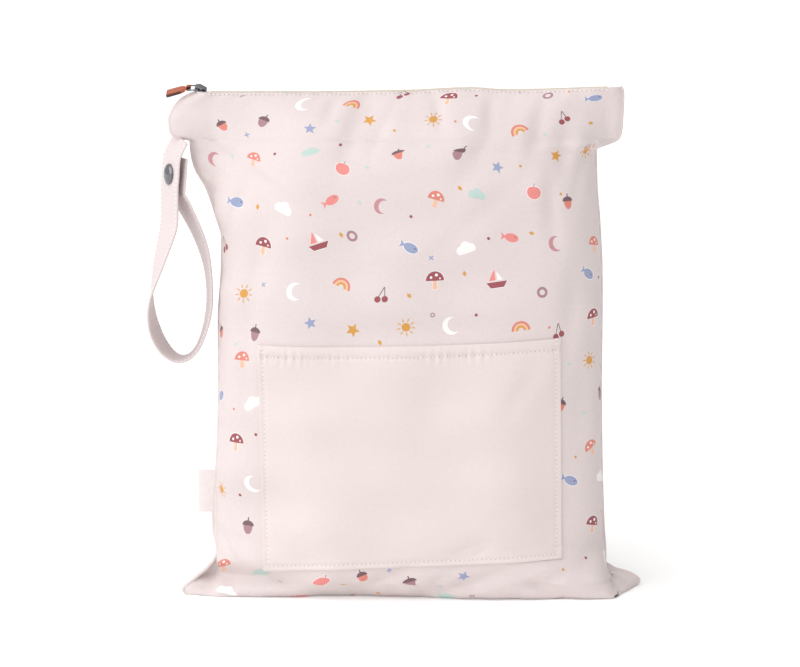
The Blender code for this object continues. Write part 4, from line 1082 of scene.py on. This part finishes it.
def makeTab():
    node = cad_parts["zip_pull_tab"]
    shape = bmesh.new()
    shape.from_mesh(node.data)
    bmesh.ops.transform(shape, matrix=node.matrix_world, verts=shape.verts)
    bmesh.ops.remove_doubles(shape, verts=shape.verts, dist=tabShape["merge"])
    bmesh.ops.dissolve_limit(shape, angle_limit=math.radians(1.0), verts=shape.verts, edges=shape.edges)
    sharp = [edge for edge in shape.edges
             if len(edge.link_faces) == 2 and edge.calc_face_angle(0) > math.radians(40)]
    bmesh.ops.bevel(shape, geom=sharp, offset=tabShape["bevel"], segments=3, affect="EDGES", profile=0.5,
                    clamp_overlap=True)
    bmesh.ops.triangulate(shape, faces=shape.faces)
    mesh = bpy.data.meshes.new("pullTab")
    shape.to_mesh(mesh)
    shape.free()
    # along and across the tab's own length, for the burnished edge
    points = np.array([v.co[:] for v in mesh.vertices])
    middle = points.mean(axis=0)
    flat = (points - middle) @ np.linalg.svd(points - middle, full_matrices=False)[2].T
    run = flat[:, 0]
    edge = np.zeros(len(points))
    for i, (along, beside, _) in enumerate(flat):
        half = np.abs(flat[np.abs(run - along) < tabShape["slice"]][:, 1]).max()
        edge[i] = 1.0 if abs(beside) > half - tabShape["burnish"] else 0.0
    free = 1 if abs(run.max()) > abs(run.min()) else -1
    edge[run * free > np.abs(run).max() - tabShape["endBurnish"]] = 1.0
    mesh.attributes.new("edge", "FLOAT", "POINT").data.foreach_set("value", edge)
    return addPiece("pullTab", mesh, pullLeather, 40.0)


print("making the pull's tab")
tab = makeTab()

# the hanging strap, along the same middle line as the solid's
strapShape = {
    "width": 0.028, "thick": 0.0016, "drop": 0.1475, "reach": 0.040, "snapDown": 0.160, "endDown": 0.112,
    "root": (-0.998, 0.9016), "clear": 0.0003,           # across and rise, where it leaves the ear
    "snapGap": 0.0034, "snapFlat": 0.016, "endFlat": 0.004, "bend": 0.012, "smoothing": 14,
    "steps": 220, "stitchInset": 0.0022, "flatShare": 0.95, "flatSteps": 29, "edgeSteps": 5,
    "groove": 0.30, "crown": 0.10, "ripple": 0.10, "ripplePitch": 0.0056, "body": 0.94, "uvShift": 0.05,
    "grooveWide": 0.0007, "rippleWide": 0.0022, "seat": 0.72,      # how deep the stitches lie
    "behind": (0.075, 0.0, -0.050), "endShort": 0.030, "endYaw": 62.0,
}
# across, down, depth and the turn of the outer face
stations = [
    (0.01, 0.000, 0.00, 62.0), (-0.08, 0.045, 0.00, 62.0), (-0.150, 0.095, 0.00, 62.0),
    (-0.170, 0.160, 0.00, 62.0), (-0.190, 0.225, 0.00, 62.0), (-0.195, 0.300, 0.00, 62.0),
    (-0.195, 0.370, 0.00, 62.0), (-0.265, 0.445, 0.00, 65.0), (-0.355, 0.525, 0.00, 70.0),
    (-0.430, 0.600, 0.00, 76.0), (-0.500, 0.670, 0.00, 83.0), (-0.535, 0.740, 0.00, 90.0),
    (-0.520, 0.810, 0.01, 95.0), (-0.455, 0.875, 0.03, 98.0), (-0.345, 0.935, 0.05, 98.0),
    (-0.195, 0.980, 0.07, 95.0), (-0.020, 1.000, 0.10, 91.0), (0.140, 0.978, 0.14, 87.0),
    (0.265, 0.925, 0.18, 84.0), (0.350, 0.860, 0.21, 82.0), (0.410, 0.790, 0.24, 80.0),
    (0.435, 0.715, 0.25, 79.0), (0.425, 0.640, 0.25, 78.0), (0.390, 0.560, 0.24, 75.0),
    (0.325, 0.485, 0.21, 71.0), (0.225, 0.410, 0.17, 68.0), (0.110, 0.345, 0.13, 65.0),
    (0.000, 0.285, 0.10, 62.5),
]
strapRoot = Vector((strapShape["root"][0] * halfWidth, 0.0,
                    strapShape["root"][1] * height - strapShape["clear"]))


def strapPlace(station):
    return strapRoot + Vector((station[0] * strapShape["reach"], station[2] * strapShape["width"],
                               -station[1] * strapShape["drop"]))


def bandFrame(along, yaw):      # which way the band's width and its outer face look
    angle = math.radians(yaw - 90.0)
    flat = Vector((-math.sin(angle), -math.cos(angle), 0.0))
    wide = (flat - along * flat.dot(along)).normalized()
    return wide, along.cross(wide).normalized()


snapIndex = next(i for i, station in enumerate(stations) if station[1] == strapShape["snapDown"])
snapAlong = (strapPlace(stations[snapIndex + 1]) - strapPlace(stations[snapIndex - 1])).normalized()
snapMiddle = strapPlace(stations[snapIndex])
snapOut = bandFrame(snapAlong, stations[snapIndex][3])[1]


def strapCentres():
    points = [strapPlace(station) for station in stations]
    yaws = [station[3] for station in stations]
    behind = snapMiddle - snapOut * (strapShape["thick"] + strapShape["snapGap"])
    freeEnd = strapShape["endDown"] - strapShape["snapDown"] - strapShape["endShort"]
    for share in (*strapShape["behind"], freeEnd):
        points.append(behind + snapAlong * (share * strapShape["drop"]))
        yaws.append(strapShape["endYaw"])
    run = [0.0]
    for first, second in zip(points, points[1:]):
        run.append(run[-1] + (second - first).length)
    at = np.linspace(0, run[-1], strapShape["steps"] + 1)
    centres = np.stack([smoothCurve(run, [point[axis] for point in points], at) for axis in range(3)], axis=1)
    # soft bends, with the snap and both ends kept
    free = softStep((at - run[snapIndex] - strapShape["snapFlat"]) / strapShape["bend"])
    free = free * softStep((run[-4] - strapShape["endFlat"] - at) / strapShape["bend"])
    for _ in range(strapShape["smoothing"]):
        centres[1:-1] += (0.5 * (centres[2:] + centres[:-2]) - centres[1:-1]) * free[1:-1, None]
    return centres, smoothCurve(run, yaws, at), at


def bandProfile():      # once round the band: across -1 to 1, up 1 on the outer face and -1 on the inner
    flatShare, steps = strapShape["flatShare"], strapShape["edgeSteps"]
    turns = [math.radians(90 - 180 * k / steps) for k in range(1, steps)]
    profile = [(across, 1.0) for across in np.linspace(-flatShare, flatShare, strapShape["flatSteps"])]
    profile += [(flatShare + (1 - flatShare) * math.cos(a), math.sin(a)) for a in turns]
    return profile + [(-across, -up) for across, up in profile]


def makeStrap():
    centres, turns, runs = strapCentres()
    half, thick = strapShape["width"] / 2, strapShape["thick"] / 2
    inset = 1 - strapShape["stitchInset"] / half
    profile, count = bandProfile(), len(centres)
    rings, frames = [], []
    for i in range(count):
        along = Vector(centres[min(i + 1, count - 1)] - centres[max(i - 1, 0)]).normalized()
        wide, out = (np.array(way) for way in bandFrame(along, turns[i]))
        frames.append((wide, out))
        ripple = math.sin(runs[i] * 2 * math.pi / strapShape["ripplePitch"] + 2 * math.sin(runs[i] * 130.0))
        ring = []
        for across, up in profile:
            rise = strapShape["body"]
            if abs(up) > 0.99:      # the two faces: crowned, drawn in at the stitches
                away = (abs(across) - inset) * half
                rise += strapShape["crown"] * (1 - across * across)
                rise -= strapShape["groove"] * ridge(away, strapShape["grooveWide"])
                rise += 0.5 * strapShape["ripple"] * ripple * ridge(away, strapShape["rippleWide"])
            ring.append(centres[i] + wide * across * half + out * up * rise * thick)
        rings.append(ring)
    mesh = sweptMesh("hangingStrap", rings)
    addUv(mesh, np.array([(across * half + (strapShape["uvShift"] if up < 0 else 0.0), run)
                          for run in runs for across, up in profile]))
    lines = []
    for across in (-inset * half, inset * half):
        for up in (-thick * strapShape["seat"], thick * strapShape["seat"]):
            lines.append(np.array([centre + wide * across + out * up
                                   for centre, (wide, out) in zip(centres[2:-2], frames[2:-2])]))
    return addPiece("hangingStrap", mesh, strapPoplin, 60.0), lines, runs[-1]


print("making the strap")
strap, strapLines, strapLength = makeStrap()
strapStitches = sewLine("strapStitch", strapLines)

# the snap's cap, turned: radius and height of its rim, then the dome
capShape = {
    "rim": [(0.0063, 0.0), (0.0067, 0.0001), (0.0069, 0.00035), (0.00685, 0.0007), (0.0066, 0.00088),
            (0.0063, 0.00084), (0.0061, 0.00082)],
    "domeRadius": 0.0060, "domeBase": 0.00086, "domeHigh": 0.00175, "domeSteps": 12, "domeTurn": 7.2,
    "sides": 64, "clear": 0.0003,
}


def makeCap():
    profile = list(capShape["rim"])
    for step in range(1, capShape["domeSteps"] + 1):
        angle = math.radians(step * capShape["domeTurn"])
        profile.append((capShape["domeRadius"] * math.cos(angle),
                        capShape["domeBase"] + capShape["domeHigh"] * math.sin(angle)))
    place = Matrix.Translation(snapMiddle + snapOut * (strapShape["thick"] / 2 + capShape["clear"]))
    place = place @ snapOut.to_track_quat("Z", "Y").to_matrix().to_4x4()
    turns = [2 * math.pi * k / capShape["sides"] for k in range(capShape["sides"])]
    rings = [[tuple(place @ Vector((radius * math.cos(a), radius * math.sin(a), up))) for a in turns]
             for radius, up in profile]
    return addPiece("snapCap", sweptMesh("snapCap", rings), gunmetal)


cap = makeCap()

# the side label: a folded satin tape, blank
labelShape = {"height": 0.028, "reach": 0.0100, "lift": 0.050, "thick": 0.0003, "rows": 30, "columns": 12,
              "tuck": 0.0003, "bow": 0.0003, "gap": 0.00018, "gapBow": 0.00028}


def makeLabel():      # rings round the folded tape, from its lower edge to its upper one
    thick, rows, columns = labelShape["thick"], labelShape["rows"], labelShape["columns"]
    middle = labelShape["lift"] + labelShape["height"] / 2
    foldX = float(sectionAt(middle / height)[0]) * halfWidth - labelShape["reach"]
    rings = []
    for i in range(rows + 1):
        z = labelShape["lift"] + labelShape["height"] * i / rows
        section = sectionAt(z / height)
        seamX, seamY = float(section[0]) * halfWidth - labelShape["tuck"], -float(section[6]) * halfDepth
        path = [(seamX + (foldX - seamX) * k / columns,
                 labelShape["gap"] + labelShape["gapBow"] * math.sin(math.pi * k / columns))
                for k in range(columns + 1)]
        outside = [(x, -y - thick) for x, y in path] + [(foldX - 0.0005, -0.0002), (foldX - 0.0005, 0.0002)]
        outside += [(x, y + thick) for x, y in path[::-1]]
        inside = [(x, y) for x, y in path[:-1]] + [(foldX + 0.0001, 0.0001), (foldX + 0.0001, -0.0001)]
        inside += [(x, -y) for x, y in path[:-1][::-1]]
        bow = labelShape["bow"] * math.sin(math.pi * i / rows)
        rings.append([(x, seamY + y - bow, z) for x, y in outside + inside])
    return addPiece("sideLabel", sweptMesh("sideLabel", rings), labelSatin, 60.0)


print("making the label")
label = makeLabel()

# metal finish on the small hard parts that stay as they are
for nodeName in ("zip_slider", "zip_pull_link", "snap_socket", "snap_stud", "snap_back"):
    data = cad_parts[nodeName].data
    data.materials.clear()
    data.materials.append(gunmetal)

# riding on the root body; the solid's own pieces that these replace are hidden
for piece in [bag, pocket, tapeFront, tapeBack, coil, tab, strap, cap, label,
              *pocketStitches, *hemStitches, *strapStitches]:
    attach(piece, "root")
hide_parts("bag_body")
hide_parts("front_pocket")
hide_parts("zip_tape_front")
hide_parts("zip_tape_back")
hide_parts("zip_coil")
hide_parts("zip_pull_tab")
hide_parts("hanging_strap")
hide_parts("snap_cap")
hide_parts("side_label")

print("setting up the studio")
# a big soft source high on the left, darker low on the right, and a floor that glows faintly
stage = {
    "floor": ("#F9F9F9", "#F7F7F6"), "floorRadius": 70, "floorDrop": 0.0002, "glow": 0.10,
    "skyWay": (-0.62, -0.30, 0.72), "skyFrom": -0.7, "skyTo": 0.9, "skyLow": 0.34, "skyHigh": 1.02,
    "sun": 1.65, "sunAngle": 80, "sunWay": (0.62, 0.52, -0.72),
    "lens": 110.2, "sensor": 36.0, "shift": (-0.0125, 0.0119),
    "camera": (0.0, -1.6, 0.40), "aim": (0, 0, 0.163),
}
white = (1.0, 1.0, 1.0, 1.0)
rim = [(stage["floorRadius"] * math.cos(k * math.pi / 16), stage["floorRadius"] * math.sin(k * math.pi / 16), 0)
       for k in range(32)]
floorMesh = newMesh("studioFloor", rim, [range(32)])
floorPaint = makePlain("floorPaint", *stage["floor"], 0.9, grain=3.0)
floorShader = floorPaint.node_tree.nodes["Principled BSDF"]
floorShader.inputs["Emission Color"].default_value = white
floorShader.inputs["Emission Strength"].default_value = stage["glow"]
floorMesh.materials.append(floorPaint)
floor = bpy.data.objects.new("studioFloor", floorMesh)
bpy.context.scene.collection.objects.link(floor)
floor.location.z = -stage["floorDrop"]

world = bpy.data.worlds.new("softStudio")
bpy.context.scene.world = world
world.use_nodes = True
sky = world.node_tree
skyWay = addNode(sky, "ShaderNodeTexCoord")
skyDot = addNode(sky, "ShaderNodeVectorMath", {1: stage["skyWay"]}, {0: (skyWay, "Generated")},
                 operation="DOT_PRODUCT")
skyRange = addNode(sky, "ShaderNodeMapRange", {"From Min": stage["skyFrom"], "From Max": stage["skyTo"],
                                               "To Min": stage["skyLow"], "To Max": stage["skyHigh"]},
                   {"Value": (skyDot, "Value")})
sky.links.new(skyRange.outputs["Result"], sky.nodes["Background"].inputs["Strength"])
sky.nodes["Background"].inputs["Color"].default_value = white

sun = bpy.data.lights.new("keyLight", "SUN")
sun.angle = math.radians(stage["sunAngle"])
sun.energy = stage["sun"]
sunLamp = bpy.data.objects.new("keyLight", sun)
sunLamp.rotation_euler = Vector(stage["sunWay"]).to_track_quat("-Z", "Y").to_euler()
bpy.context.scene.collection.objects.link(sunLamp)

camera = bpy.data.cameras.new("camera")
camera.lens = stage["lens"]
camera.sensor_width = stage["sensor"]
camera.shift_x, camera.shift_y = stage["shift"]
cameraObject = bpy.data.objects.new("camera", camera)
cameraObject.location = stage["camera"]
lookWay = Vector(stage["aim"]) - Vector(stage["camera"])
cameraObject.rotation_euler = lookWay.to_track_quat("-Z", "Y").to_euler()
bpy.context.scene.collection.objects.link(cameraObject)
bpy.context.scene.camera = cameraObject
bpy.context.scene.view_settings.view_transform = "Standard"

print("done")
